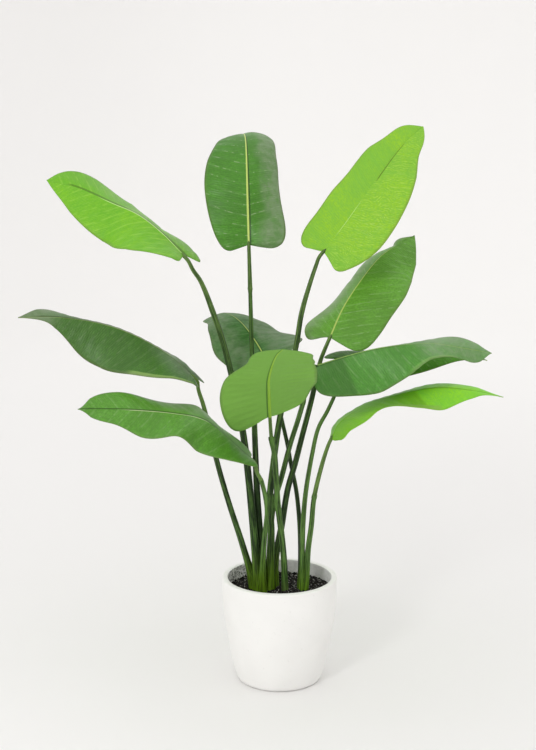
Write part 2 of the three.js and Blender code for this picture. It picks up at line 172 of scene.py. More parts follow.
def half(width, rise, curl, lobe=0):
    """One half of a blade: its width and its rise in degrees along the midrib, its curl and its lobe."""
    return {"width": width, "rise": rise, "curl": curl, "lobe": lobe}


# A leaf's shape. stem is the route up from the soil, rib is the midrib from the stalk to the tip, and
# face is the way its upper side looks. left and right are its halves, and wave is the height and the
# number of the margin's ripples. foot and top are the stem's radii, joint is the height of its socket,
# and slim is the stalk's thickness against the stem's where it isn't the usual one.
#
# A leaf's looks. tone is how light the stem is at its foot, at its joint and at the blade, partly the
# stem's own colour and partly painted light and shade. colour is the blade's green, partly its own and
# partly painted light and shade, set lighter or darker with how lit the leaf looks. midrib and under are
# colours of their own, deep is the darkest green against the lightest, and gloss is the blade's shine.
# veins is how light the side veins are on the left and the right half, then the dashes along them, which
# are painted glints, and the wider stripes, and how far they sweep forward.
# The other rows are markings. Each gives its strength first, and last the shares of the midrib from
# which and to which it shows. A side is -1 for left, 1 for right or 0 for both, and a start is how far
# out a marking begins, as a share of the half's width.
# line is the pale midrib, with half its width. groove is a dark line of painted shade beside it, with its
# side, and about half its width at the end of the row. sheen is a greyer zone of painted reflection and
# strip a pale band along the margin, both with side and start. shade is painted shadow, a darker part.
LEAVES = {
    "upper_left": dict(
        slot="blade_lime", clump="left_clump", foot=9, top=5.7, joint=640, tone=(0.35, -0.2, 0.9),
        colour=(0.173, 0.449, 0.006), gloss=0.3, veins=(0.35, 0.15, 0, 0.22, 0.8),
        line=(0.9, 1.1, -1, 0.62), groove_shade=(0.8, 1, -1, 0.85, 6.5), painted_sheen=(0.15, 1, 0.1, 0, 1),
        rib=[[-204, 20, 931], [-250, 35, 977], [-300, 50, 1014], [-356, 65, 1037], [-430, 85, 1067],
             [-498, 100, 1083]],
        face=[[0.1, -0.1, 1], [0.1, -0.35, 1], [0.1, -0.8, 0.6], [0.1, -0.9, 0.5], [0.1, -0.9, 0.5]],
        left=half([80, 101, 93, 106, 148], [4, -12, -12, -2, 0], -20),
        right=half([73, 75, 82, 101, 190], [-1, -30, -50, -32, 8], -20, 0.056),
        wave=(2, 2),
        stem=[[-44, -4, 198], [-48, -4, 239], [-59, -2, 368], [-67, 0, 455], [-79, 4, 554],
              [-115, 12, 727], [-143, 16, 815], [-167, 18, 876], [-183, 19, 900]]),
    "top": dict(
        slot="blade_green", clump="left_clump", foot=9, top=3.6, joint=862, slim=1.28,
        tone=(-0.4, 0.5, 0.55), colour=(0.058, 0.234, 0.008), gloss=0.4,
        veins=(0.08, 0.1, 0.32, 0.06, 0.2), line=(1.0, 1.9, -1, 2), groove_shade=(0.95, 1, -1, 0.75, 2.2),
        painted_sheen=(0.75, 1, 0.3, -1, 0.8),
        rib=[[-65, 0, 956], [-67, 8, 1024], [-69, 30, 1094], [-71, 72, 1146], [-74, 120, 1174],
             [-79, 175, 1179], [-85, 225, 1170]],
        face=[[0, -1, 0.2], [0, -1, 0.4], [0, -0.7, 1], [0, 0, 1]],
        left=half([80, 86, 90, 91, 89, 110, 190], [0, -5, -8, -11], -20, 0.004),
        right=half([99, 86, 82, 87, 97, 150, 290], [0, -28, -32, -14, -3], -50, -0.004),
        wave=(1.5, 2),
        stem=[[-37, 15, 191], [-38, 15, 230], [-43, 15, 321], [-49, 14, 423], [-54, 12, 564],
              [-60, 8, 754], [-62, 4, 842]]),
    "upper_right": dict(
        slot="blade_lime", clump="left_clump", foot=8.2, top=5.3, joint=670, tone=(0.2, 0.4, 0.45),
        colour=(0.255, 0.507, 0.016), gloss=0.25, veins=(0.12, 0.65, 0, 0, 0.3),
        line=(0.6, 0.3, 0.14, 0.36), groove_shade=(0.95, 1, 0.54, 0.82, 2.6),
        rib=[[92, 20, 939], [135, 40, 992], [195, 70, 1073], [237, 95, 1128], [272, 120, 1166],
             [309, 140, 1195]],
        face=[[-0.2, -1, 0.5], [-0.2, -1, 0.6], [-0.2, -1, 0.6]],
        left=half([78, 67, 66, 64, 77, 104, 240], [5, 5, 5, 5], -10, 0.014),
        right=half([89, 96, 96, 97, 99, 110, 230], [-5, 0, 0, 0], -15, 0.024),
        wave=(2, 2),
        stem=[[-22, 2, 195], [-21, 2, 234], [-18, 3, 332], [-21, 4, 404], [-15, 4, 470], [3, 6, 598],
              [35, 12, 740], [46, 15, 808], [65, 18, 876], [76, 19, 909]]),
    "middle_right": dict(
        slot="blade_green", clump="left_clump", foot=7.3, top=5, joint=660, tone=(0.05, 0.2, 0.9),
        colour=(0.129, 0.358, 0.029), gloss=0.35, veins=(0.1, 0.15, 0.2, 0.1, 0.7),
        line=(0.85, 1.4, -1, 0.8), groove_shade=(0.6, 1, 0.5, 1.1, 1.5), painted_sheen=(0.5, -1, 0.35, -1, 2),
        rib=[[108, 40, 753], [138, 75, 813], [180, 110, 871], [222, 146, 915], [262, 173, 938],
             [301, 200, 955]],
        face=[[-0.1, -1, 0.4], [-0.1, -1, 0.5], [0, -1, 0.6]],
        left=half([80, 68, 90, 92, 30], [-10, -54, -64, -62, -75], -30, 0.03),
        right=half([106, 103, 101, 110, 126, 173, 230], [0, 0], -15),
        wave=(2, 2),
        stem=[[-13, 16, 190], [-9, 18, 263], [5, 20, 341], [18, 22, 422], [34, 25, 479], [48, 28, 535],
              [69, 34, 618], [87, 38, 700]]),
    "back": dict(
        slot="blade_deep", clump="right_clump", foot=5.3, top=3.9, joint=610, tone=(0.05, 0.05, 0.05),
        colour=(0.038, 0.179, 0.018), deep=0.55, gloss=0.12, veins=(0.2, 0.2, 0.08, 0.05, 0.3),
        line=(0.7, 1.0, -1, 2), groove_shade=(0.6, 0, -1, 2, 1.6), painted_sheen=(0.6, 0, 0.1, -1, 2),
        rib=[[-29, 60, 701], [-51, 110, 730], [-77, 160, 758], [-102, 210, 772], [-126, 260, 773],
             [-144, 305, 760], [-151, 327, 750]],
        face=[[0, -0.6, 1], [0, -0.5, 1], [-0.2, 0, 1], [-0.5, 0.5, 1]],
        left=half([92, 92, 82, 90, 220], [-20, -14, -8, -10], -20),
        right=half([108, 102, 92, 92], [14, -6, -28, -22, -23, -28], -10),
        wave=(4, 2.4),
        stem=[[45, 6, 193], [46, 11, 265], [44, 23, 340], [37, 34, 412], [26, 42, 467], [17, 48, 516],
              [6, 54, 564], [-10, 58, 635]]),
    "front": dict(
        slot="blade_green", clump="front_stem", foot=7.1, top=5.9, joint=556, slim=0.7,
        tone=(0.35, 0.6, 0.8), colour=(0.092, 0.331, 0.033), midrib=(0.29, 0.52, 0.05),
        under=(0.203, 0.442, 0.069), deep=0.88, gloss=0.2, veins=(0.12, 0.12, 0, 0.1, 0.45),
        line=(0.95, 3.1, -1, 2), groove_shade=(0.7, 1, -1, 2, 2.0), painted_sheen=(0.1, 0, 0.2, -1, 2),
        rib=[[-21, -60, 602], [-23, -130, 666], [-23, -200, 709], [-16, -270, 752], [-8, -330, 782],
             [2, -375, 800]],
        face=[[-0.4, 0.7, 0.8], [-0.2, 0.5, 1], [0, 0.3, 1], [0, 0.2, 1]],
        left=half([96, 94, 95, 99, 108, 127, 215, 540], [2, -3, 0, 0], -10, -0.022),
        right=half([108, 104, 96, 88, 230], [-6, -4, 0, 0], -10, 0.012),
        wave=(3, 2),
        stem=[[12, -12, 200], [10, -17, 266], [5, -25, 326], [-4, -35, 404], [-8, -43, 467],
              [-12, -51, 524], [-17, -54, 547]]),
    "middle_left": dict(
        slot="blade_deep", clump="left_clump", foot=6.9, top=5, joint=545, tone=(0.3, 0.05, 1.0),
        colour=(0.046, 0.156, 0.01), gloss=0.4, veins=(0.12, 0.1, 0.06, 0.05, 0.4),
        line=(0.35, 1.0, -1, 2), groove_shade=(0.8, 1, -1, 0.9, 4.5), painted_sheen=(0.7, 0, -0.6, 0.8, 2),
        strip=(0.8, -1, 0.88, 0.02, 0.30),
        rib=[[-186, -10, 678], [-227, -15, 719], [-297, -25, 764], [-369, -35, 793], [-457, -45, 809],
             [-541, -60, 811]],
        face=[[0.1, -0.1, 1], [0.1, -0.2, 1], [0.1, -0.3, 1], [0.1, -0.5, 1]],
        left=half([84, 97, 97, 101, 98, 46, 30], [4, -16, -32, -50, -60, -55, -40], -30, 0.015),
        right=half([82, 81, 80, 84, 130], [-5, -19, -25, -20, 27], -20, 0.066),
        wave=(1.5, 2),
        stem=[[-55, 4, 195], [-62, 2, 234], [-82, 0, 308], [-111, -3, 403], [-136, -6, 497],
              [-162, -8, 613], [-173, -9, 650]]),
    "lower_left": dict(
        slot="blade_green", clump="left_clump", foot=6.2, top=4.2, joint=466, tone=(0.4, 0.65, 0.9),
        colour=(0.1, 0.302, 0.028), midrib=(0.72, 0.80, 0.45), gloss=0.3,
        veins=(0.12, 0.12, 0.05, 0.1, 0.5), line=(0.8, 0.7, 0.33, 0.75), groove_shade=(0.8, 1, -1, 2, 3.4),
        painted_sheen=(0.5, 1, 0.1, 0.25, 0.55),
        rib=[[-63, -80, 516], [-106, -95, 561], [-156, -115, 606], [-221, -130, 624], [-314, -155, 637],
             [-407, -176, 643]],
        face=[[0.1, -0.1, 1], [0.1, -0.1, 1]],
        left=half([96, 90, 76, 82, 82, 96, 230], [6, -16, -42, -20, -46, -35, -20], -25, -0.025),
        right=half([74, 72, 70, 72, 78, 108, 220], [5, 2, 3, 1, 14, 35, 50], -20),
        wave=(2, 2.5),
        stem=[[-37, -16, 202], [-36, -24, 269], [-32, -35, 335], [-27, -43, 388], [-31, -56, 428],
              [-40, -66, 466], [-48, -72, 484]]),
    "right": dict(
        slot="blade_green", clump="left_clump", foot=6.5, top=4.8, joint=625, tone=(0.35, 0.45, 0.4),
        colour=(0.073, 0.286, 0.022), gloss=0.45, veins=(0.1, 0.12, 0.03, 0.12, 0.35),
        line=(0.3, 1.2, -1, 2), groove_shade=(0.5, 1, -1, 2, 1.5), painted_sheen=(0.6, 0, -0.6, 0.6, 2),
        strip=(0.35, 1, 0.86, 0.5, 0.78), shade=(0.5, -1, 0.17),
        rib=[[72, -30, 703], [145, -33, 727], [219, -36, 745], [313, -38, 753], [380, -40, 744],
             [442, -42, 733]],
        face=[[0, -0.2, 1], [0, -0.2, 1], [0, -0.3, 1]],
        left=half([78, 78, 77, 92, 170], [-30, -29, -28, -26, -16, 6, 8], -20),
        right=half([88, 90, 92, 82, 74, 72, 260], [-70, -75, -66, -46, -12, -34, -50], -20),
        wave=(1.2, 2),
        stem=[[-24, 14, 191], [-21, 11, 290], [-18, 8, 350], [-11, 5, 400], [3, 0, 450], [23, -6, 530],
              [40, -12, 587], [53, -18, 640]]),
    "lower_right": dict(
        slot="blade_lime", clump="right_clump", foot=6.6, top=4.6, joint=414, tone=(0.4, 0.65, 0.9),
        colour=(0.300, 0.710, 0.022), gloss=0.15, veins=(0.1, 0.15, 0, 0.06, 0.4),
        line=(0.2, 1.0, -1, 0.4), groove_shade=(0.75, 0, 0.5, 1.1, 1.6), strip=(0.7, 1, 0.78, 0.34, 0.6),
        shade=(0.42, -1, 0.52),
        rib=[[112, 0, 542], [127, 5, 572], [163, 15, 598], [211, 25, 619], [325, 45, 641], [413, 55, 634],
             [487, 65, 617]],
        face=[[0, 0, 1], [0, 0, 1], [0, -0.1, 1]],
        left=half([67, 79, 86], [-18, -17, -14, -1, 18], -20, -0.02),
        right=half([70, 84, 60, 72, 81, 62, 60], [0, -2, -4, -22, -38, -26, -10], -10, -0.035),
        wave=(1.2, 2),
        stem=[[55, -5, 198], [59, -4, 236], [62, -3, 291], [69, -2, 348], [74, -1, 405], [90, 0, 478]]),
    "behind_right": dict(
        slot="blade_green", clump="right_clump", foot=6.4, top=3.5, joint=645, tone=(0.7, 0.8, 0.8),
        colour=(0.062, 0.235, 0.008), gloss=0.1, veins=(0.1, 0.1, 0, 0.1, 0.3), line=(0.5, 1.2, -1, 2),
        groove_shade=(0.5, 0, -1, 2, 1.5), shade=(0.35, -1, 0.4),
        rib=[[141, 60, 699], [201, 80, 711], [285, 95, 717], [374, 110, 710], [458, 120, 688]],
        face=[[0, -0.2, 1], [0, -0.2, 1]],
        left=half([86, 77, 80], [-5, -20, -20, -14, -10], -20, 0.06),
        right=half([80, 80, 80], [-30, -28, -22, -6, 0], -20),
        wave=(1.2, 2),
        stem=[[48, -4, 198], [49, 0, 258], [51, 8, 345], [57, 18, 416], [71, 30, 499], [84, 40, 553],
              [106, 48, 594], [127, 56, 647]]),
}


# Settings


class PotSettings(bpy.types.PropertyGroup):
    """The pot's finish."""

    sides: IntProperty(name="Sides", description="Facets round the pot", default=128, min=32)
    glaze: FloatVectorProperty(name="Body", description="Colour of the matt body", subtype="COLOR",
                               size=3, default=(0.93, 0.925, 0.905))


class SoilSettings(bpy.types.PropertyGroup):
    """The soil and its granules."""

    grain: FloatProperty(name="Granule", description="Radius of a granule", default=0.0030, unit="LENGTH")
    density: FloatProperty(name="Density", description="Granules on a square metre", default=52000)
    seed: IntProperty(name="Seed", description="Where the granules fall", default=4)


class StemSettings(bpy.types.PropertyGroup):
    """The stems and stalks."""

    sides: IntProperty(name="Sides", description="Facets round a stem", default=24, min=8)
    step: FloatProperty(name="Step", description="Distance between its rings", default=0.006, unit="LENGTH")
    flutes: IntProperty(name="Flutes", description="Fine ribs round a stem", default=6)
    flute: FloatProperty(name="Flute depth", description="Height of a rib as a share of the radius",
                         default=0.035)


class BladeSettings(bpy.types.PropertyGroup):
    """The blades, their midribs and side veins."""

    vein_gap: FloatProperty(name="Vein gap", description="Distance between side veins", default=0.0048,
                            unit="LENGTH")
    vein_relief: FloatProperty(name="Vein relief", description="Height of a side vein", default=0.00014,
                               unit="LENGTH")
    thickness: FloatProperty(name="Thickness", description="Thickness of a blade", default=0.0010,
                             unit="LENGTH")
    bead: FloatProperty(name="Midrib bead", description="Height of the midrib over the upper side",
                        default=0.0012, unit="LENGTH")
    columns: IntProperty(name="Columns", description="Strips from the midrib to the margin", default=13)


class StudioSettings(bpy.types.PropertyGroup):
    """The studio: a pale floor that turns up all round, one large lamp and the camera."""

    floor: FloatVectorProperty(name="Floor", description="Colour of floor and wall", subtype="COLOR",
                               size=3, default=(0.86, 0.852, 0.84))
    glow: FloatProperty(name="Glow", description="Brightness added to the wall", default=0.10)
    room: FloatProperty(name="Room light", description="Strength of the light from all sides", default=1.09)
    key: FloatProperty(name="Lamp", description="Power of the large lamp", default=23, subtype="POWER")


# Curves and meshes


class Path:
    """A smooth curve through points, read by its share of the length."""

    STEPS = 60

    def __init__(self, points, even=True):
        given = np.array(points, float)
        given = np.vstack([2 * given[0] - given[1], given, 2 * given[-1] - given[-2]])
        s = np.linspace(0, 1, self.STEPS, endpoint=False)[:, None]
        pieces = []
        for a, b, c, d in zip(given, given[1:], given[2:], given[3:]):
            spans = [1 if even else math.sqrt(np.linalg.norm(q)) for q in (b - a, c - b, d - c)]
            start = (b - a) / spans[0] - (c - a) / (spans[0] + spans[1]) + (c - b) / spans[1]
            end = (c - b) / spans[1] - (d - b) / (spans[1] + spans[2]) + (d - c) / spans[2]
            pieces.append(cubic(b, c, start * spans[1], end * spans[1], s))
        self.points = np.vstack([*pieces, given[-2:-1]])
        steps = np.linalg.norm(np.diff(self.points, axis=0), axis=1)
        walked = np.concatenate([[0], np.cumsum(steps)])
        self.length = walked[-1]
        self.shares = walked / self.length
        self.ways = unit(np.gradient(self.points, self.shares, axis=0))

    def at(self, share):
        """Places and directions at these shares. Before its start the curve runs on straight."""
        inside = np.clip(share, 0, 1)
        place, along = (
            np.stack([np.interp(inside, self.shares, column) for column in rows.T], -1)
            for rows in (self.points, self.ways)
        )
        return place + (np.minimum(share, 0) * self.length)[..., None] * along, along


def unit(vectors):
    return vectors / np.linalg.norm(vectors, axis=-1, keepdims=True)


def cubic(b, c, start, end, s):
    return (2 * b - 2 * c + start + end) * s**3 + (3 * c - 3 * b - 2 * start - end) * s**2 + start * s + b


def ease(values, t):
    """Values read smoothly from a list of equally spaced ones, at t from 0 to 1."""
    v = np.array(values, float)
    v = np.concatenate([[2 * v[0] - v[1]], v, [2 * v[-1] - v[-2]]])
    place = np.clip(t, 0, 1) * (len(values) - 1)
    i = np.minimum(place.astype(int), len(values) - 2)
    a, b, c, d = (v[i + k] for k in range(4))
    return cubic(b, c, (c - a) / 2, (d - b) / 2, place - i)


def fade(value, low, high):
    """0 below low, 1 above high, and smooth between."""
    s = np.clip((value - low) / (high - low), 0, 1)
    return s * s * (3 - 2 * s)


def new_object(name, data):
    piece = bpy.data.objects.new(name, data)
    bpy.context.scene.collection.objects.link(piece)
    return piece


def shade_smooth(mesh):
    mesh.polygons.foreach_set("use_smooth", [True] * len(mesh.polygons))


def set_attribute(mesh, name, values):
    layer = mesh.attributes.new(name, "FLOAT", "POINT")
    layer.data.foreach_set("value", np.asarray(values, np.float32).ravel())


def finish_piece(piece, node):
    """The piece rides with the plant and stands for this CAD node."""
    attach(piece, "root")
    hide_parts(node)


def baked(piece):
    """The object with its modifiers turned into a plain mesh."""
    graph = bpy.context.evaluated_depsgraph_get()
    mesh = bpy.data.meshes.new_from_object(piece.evaluated_get(graph))
    name = piece.name
    data = piece.data
    bpy.data.objects.remove(piece)
    if data.users == 0:
        (bpy.data.curves if isinstance(data, bpy.types.Curve) else bpy.data.meshes).remove(data)
    mesh.name = name
    return new_object(name, mesh)


# Node trees

# What a shader group puts out
FINISH = {"Colour": "Color", "Roughness": "Float", "Height": "Float"}


class Value:
    """What a node puts out. Sums, products and the like of such values add the nodes for them."""

    def __init__(self, tree, socket):
        self.tree = tree
        self.socket = socket

    def __add__(self, other):
        return maths("ADD", self, other)

    def __sub__(self, other):
        return maths("SUBTRACT", self, other)

    def __rsub__(self, other):
        return maths("SUBTRACT", other, self)

    def __mul__(self, other):
        return maths("MULTIPLY", self, other)

    def __truediv__(self, other):
        return maths("DIVIDE", self, other)

    def __abs__(self):
        return maths("ABSOLUTE", self)


def plug(tree, socket, given):
    """Links a value to a socket, or sets the socket to a constant. A colour needs no alpha."""
    if isinstance(given, Value):
        tree.links.new(given.socket, socket)
    else:
        socket.default_value = (*given, 1) if socket.type == "RGBA" else given


def add_node(tree, kind, inputs=None, **settings):
    """A node with its settings, and its inputs by name or number."""
    node = tree.nodes.new(kind)
    for name, setting in settings.items():
        setattr(node, name, setting)
    for key, given in (inputs or {}).items():
        plug(tree, node.inputs[key], given)
    return node


def output_of(tree, kind, inputs=None, output=0, **settings):
    """One output of a new node."""
    return Value(tree, add_node(tree, kind, inputs, **settings).outputs[output])


def new_tree(name, kind, inputs, outputs):
    """A node group, what it is given by name, and its outputs. inputs and outputs are types by name."""
    tree = bpy.data.node_groups.new(name, kind)
    for direction, rows in (("INPUT", inputs), ("OUTPUT", outputs)):
        for label, socket in rows.items():
            tree.interface.new_socket(label, in_out=direction, socket_type="NodeSocket" + socket)
    given = {socket.name: Value(tree, socket) for socket in tree.nodes.new("NodeGroupInput").outputs}
    return tree, given, tree.nodes.new("NodeGroupOutput").inputs


def geometry_tree(name, numbers):
    """A Geometry Nodes group that is given a geometry, numbers and a material, and puts out a geometry."""
    inputs = {"Geometry": "Geometry"} | numbers | {"Material": "Material"}
    return new_tree(name, "GeometryNodeTree", inputs, {"Geometry": "Geometry"})


def use_tree(piece, tree, values):
    """A Geometry Nodes modifier with its inputs, given by their names."""
    modifier = piece.modifiers.new(tree.name, "NODES")
    modifier.node_group = tree
    for item in tree.interface.items_tree:
        if item.item_type == "SOCKET" and item.in_out == "INPUT" and item.name in values:
            modifier[item.identifier] = values[item.name]


def put_out(geometry, given, made):
    """Gives the geometry the material that the group is given, and puts it out."""
    inputs = {"Geometry": geometry, "Material": given["Material"]}
    plug(geometry.tree, made["Geometry"], output_of(geometry.tree, "GeometryNodeSetMaterial", inputs))


def maths(operation, *terms, clamp=False):
    tree = next(term.tree for term in terms if isinstance(term, Value))
    return output_of(tree, "ShaderNodeMath", dict(enumerate(terms)), operation=operation, use_clamp=clamp)


def blend(share, a, b):
    """A colour between a and b."""
    return output_of(share.tree, "ShaderNodeMix", {"Factor": share, 6: a, 7: b}, 2, data_type="RGBA")


def between(value, low, high, to_low=0.0, to_high=1.0):
    """The value taken smoothly from one range to another."""
    rows = {"Value": value, "From Min": low, "From Max": high, "To Min": to_low, "To Max": to_high}
    return output_of(value.tree, "ShaderNodeMapRange", rows, interpolation_type="SMOOTHSTEP")


def noise(vector, scale, detail=2.0, roughness=0.5):
    rows = {"Vector": vector, "Scale": scale, "Detail": detail, "Roughness": roughness}
    return output_of(vector.tree, "ShaderNodeTexNoise", rows, "Fac")


def attribute(tree, name, output="Fac"):
    return output_of(tree, "ShaderNodeAttribute", output=output, attribute_name=name)


def object_place(tree):
    return output_of(tree, "ShaderNodeTexCoord", output="Object")


def joined(tree, **parts):
    """A vector from its X, Y and Z."""
    return output_of(tree, "ShaderNodeCombineXYZ", parts)


def axis(vector, letter):
    return output_of(vector.tree, "ShaderNodeSeparateXYZ", {0: vector}, letter)


def scaled(vector, scale):
    return output_of(vector.tree, "ShaderNodeVectorMath", {0: vector, "Scale": scale}, operation="SCALE")


def span(value, low, high, soft):
    """1 where the value lies between low and high, with soft ends."""
    return between(value - low, -soft / 2, soft / 2) * between(value - high, -soft / 2, soft / 2, 1.0, 0.0)


def on_side(value, side):
    """The value itself for side 1, turned round for -1, and without its sign for 0."""
    return value * side + abs(value) * (1.0 - abs(side))


def new_material(name, specular):
    """A material with a Principled shader of this specular level."""
    material = bpy.data.materials.new(name)
    material.use_nodes = True
    shader = material.node_tree.nodes["Principled BSDF"]
    shader.inputs["Specular IOR Level"].default_value = specular
    return material, material.node_tree, shader.inputs


def dress(tree, shader, colour, roughness, height, distance):
    """Gives the shader its colour and roughness, and a bump."""
    plug(tree, shader["Base Color"], colour)
    plug(tree, shader["Roughness"], roughness)
    bump = {"Height": height, "Distance": distance, "Strength": 1.0}
    plug(tree, shader["Normal"], output_of(tree, "ShaderNodeBump", bump))


def surface_tree(name, colours, numbers):
    """A shader group with these inputs, and what a finish needs as its outputs."""
    inputs = dict.fromkeys(colours, "Color") | dict.fromkeys(numbers, "Float")
    return new_tree(name, "ShaderNodeTree", inputs, FINISH)


def surface_material(name, specular, surface, values, bump):
    """A material with a shader group, its values by socket, and the height of its bump."""
    material, tree, shader = new_material(name, specular)
    group = add_node(tree, "ShaderNodeGroup", values, node_tree=surface)
    dress(tree, shader, *(Value(tree, group.outputs[n]) for n in FINISH), bump)
    return material


# Finish of the leaves

# The numbers that the leaf shader takes, in the order of each leaf's rows
MARKINGS = {
    "veins": ["Vein left", "Vein right", "Glint light", "Stripe light", "Sweep"],
    "line": ["Line light", "Line width", "Line from", "Line to"],
    "groove_shade": ["Groove dark", "Groove side", "Groove from", "Groove to", "Groove width"],
    "painted_sheen": ["Sheen light", "Sheen side", "Sheen start", "Sheen from", "Sheen to"],
    "strip": ["Strip light", "Strip side", "Strip start", "Strip from", "Strip to"],
    "shade": ["Shade dark", "Shade from", "Shade to"],
}


def side_veins(tree, given, place, along, across):
    """How high the side veins stand, and how light they are, with breaks."""
    wander = (noise(place, 24.0, 1.0) - 0.5) * between(across, -0.1, 0.5, 0.15, 1.0)
    turn = (wander * given["Swirl"] + along) / VEIN_PITCH
    ridge = maths("SINE", turn * (2 * math.pi)) * 0.5 + 0.5
    drawn = joined(tree, X=along * 0.35, Y=across * 5.0)
    broken = between(noise(drawn, 1.0, 2.0, 0.6), 0.42, 0.62)
    veined = between(across, -0.08, 0.08, given["Vein left"], given["Vein right"])
    return ridge, between(ridge, 0.3, 1.0) * broken * veined


def stripes_and_glints(tree, given, place, along, across):
    """Wider stripes along some side veins, and short pale dashes in their middle, which are painted glints.
    """
    drift = (noise(place, 12.0, 1.0) - 0.5) * 14.0 + along
    swing = maths("PINGPONG", drift, DASH_GAP / 2)
    short = joined(tree, X=along * 0.08, Y=across * 9.0, Z=7.0)
    stripe = between(swing, 0.2, 4.0, 1.0, 0.0) * between(noise(short, 0.5, 1.0), 0.35, 0.6)
    # Painted glints: short pale dashes where a vein ridge would catch the light.
    painted_glint = between(swing, 0.3, 1.3, 1.0, 0.0) * between(noise(short, 1.0, 1.0), 0.54, 0.60)
    return stripe * given["Stripe light"], painted_glint * given["Glint light"]


def zones(given, place, across, reach):
    """A greyer zone of painted reflection with a cloudy border, a pale band near the margin, and a darker
    part of painted shade.
    """
    # Painted sheen: a greyer zone that stands in for a glossy reflection of the bright room.
    outward = on_side(across, given["Sheen side"]) - given["Sheen start"]
    outward = (noise(place, 16.0, 2.0) - 0.5) * 1.1 + outward
    painted_sheen = span(reach, given["Sheen from"], given["Sheen to"], 0.12) * between(outward, -0.15, 0.4)
    painted_sheen *= between(noise(place, 60.0, 3.0, 0.6), 0.3, 0.65, 0.45, 1.0)
    strip = between(on_side(across, given["Strip side"]) - given["Strip start"], 0.0, 0.03)
    strip *= given["Strip light"] * span(reach, given["Strip from"], given["Strip to"], 0.06)
    # Painted shade: a darker stretch of the blade, standing in for shadow that falls on it.
    shade = span(reach, given["Shade from"], given["Shade to"], 0.03)
    return painted_sheen * given["Sheen light"], strip, shade * given["Shade dark"]


def midrib_marks(given, out, reach, under):
    """The dark groove beside the midrib, a line of painted shade, and the pale midrib itself, which always
    shows underneath.
    """
    past = abs(out) - given["Line width"] * between(reach, 0.0, 1.0, 1.0, 0.3)
    deep = given["Groove width"] * between(reach, 0.2, 0.9, 1.0, 0.4)
    # The groove is painted shade: a dark line beside the raised midrib.
    groove_shade = between(abs(past - deep) / deep, 0.5, 1.1, 1.0, 0.0)
    groove_shade *= between(on_side(out, given["Groove side"]), -0.6, 0.6)
    groove_shade *= span(reach, given["Groove from"], given["Groove to"], 0.05)
    shown = given["Line light"] * span(reach, given["Line from"], given["Line to"], 0.1)
    line = between(past, 0.0, 0.5, 1.0, 0.0) * maths("MAXIMUM", shown, under)
    return groove_shade * given["Groove dark"], line


def leaf_surface():
    """Shader group: side veins, pale dashes of painted glint, midrib, groove of painted shade, sheen of
    painted reflection, painted shade, margin and paler underside.

    along and out are millimetres, across and reach are shares of the half's width and the midrib's length.
    """
    tree, given, made = surface_tree(
        "leaf_surface",
        ["Face", "Face deep", "Vein", "Dash", "Midrib", "Groove shade", "Sheen", "Margin", "Under", "Strip"],
        ["Swirl", *sum(MARKINGS.values(), [])])
    place = object_place(tree)
    across, under, out, reach = (attribute(tree, n) for n in ("across", "under", "out", "reach"))
    along = attribute(tree, "along") - abs(out) * given["Sweep"]
    ridge, light = side_veins(tree, given, place, along, across)
    stripe, painted_glint = stripes_and_glints(tree, given, place, along, across)
    painted_sheen, strip, shade = zones(given, place, across, reach)
    groove_shade, line = midrib_marks(given, out, reach, under)
    mottle = between(noise(place, 14.0, 3.0), 0.35, 0.65)
    band = between(noise(joined(tree, X=along * 0.09), 1.0, 2.0, 0.7), 0.35, 0.7)
    fine = between(noise(place, 230.0, 2.0), 0.38, 0.62, 0.0, 0.6)
    body = given["Face"]
    for share, colour in (
            (mottle * 0.55 + band * 0.4, given["Face deep"]), (fine, given["Face deep"]),
            (light, given["Vein"]), (stripe, given["Dash"]), (painted_glint, given["Dash"]), (painted_sheen, given["Sheen"]),
            (shade, given["Groove shade"]), (strip, given["Strip"]),
            (under, blend(light * 0.3, given["Under"], given["Vein"])), (groove_shade, given["Groove shade"]),
            (line, given["Midrib"]), (attribute(tree, "edge") * 0.6, given["Margin"])):
        body = blend(share, body, colour)
    plug(tree, made["Colour"], body)
    plug(tree, made["Roughness"], under * 0.2 + (mottle * 0.08 + 0.36))
    plug(tree, made["Height"], noise(place, 900.0, 2.0) * 0.25 + ridge)
    return tree


def blade_material(name, leaf, surface):
    """The finish of one blade, from its green, which is partly its own and partly painted light and shade.
    """
    base = Vector(leaf["colour"])
    lime = leaf["slot"] == "blade_lime"
    values = {
        "Face": base * 1.08,
        "Face deep": base * Vector((0.74, 0.92, 2.4)) if lime else base * leaf.get("deep", 0.72),
        "Vein": base.lerp(Vector((0.60, 0.85, 0.16 if lime else 0.30)), 0.4),
        # This colour serves the pale stripes, the leaf's own, and the dashes of painted glint.
        "Dash": base.lerp(Vector((0.62, 0.86, 0.16) if lime else (0.70, 0.78, 0.52)), 0.6),
        "Midrib": leaf.get("midrib", (0.60, 0.84, 0.30) if lime else (0.50, 0.62, 0.14)),
        # The groove colour is painted shade, for the line beside the midrib and for the shade marking.
        "Groove shade": base * (0.42 if lime else 0.3),
        # The sheen colour is a painted reflection.
        "Sheen": Vector((0.24, 0.285, 0.19)).lerp(base, 0.25),
        "Margin": base.lerp(Vector((0.20, 0.17, 0.10)), 0.5),
        "Under": leaf.get("under", base.lerp(Vector((0.28, 0.52, 0.09)), 0.75)),
        "Strip": base.lerp(Vector((0.30, 0.46, 0.12)), 0.7),
        "Swirl": 60.0 if lime else 1.0,
    }
    for marking, sockets in MARKINGS.items():
        values |= zip(sockets, leaf.get(marking, [0] * len(sockets)))
    return surface_material("blade_" + name, leaf["gloss"], surface, values, 0.0001)


# Finish of the stems, the pot, the soil and the studio


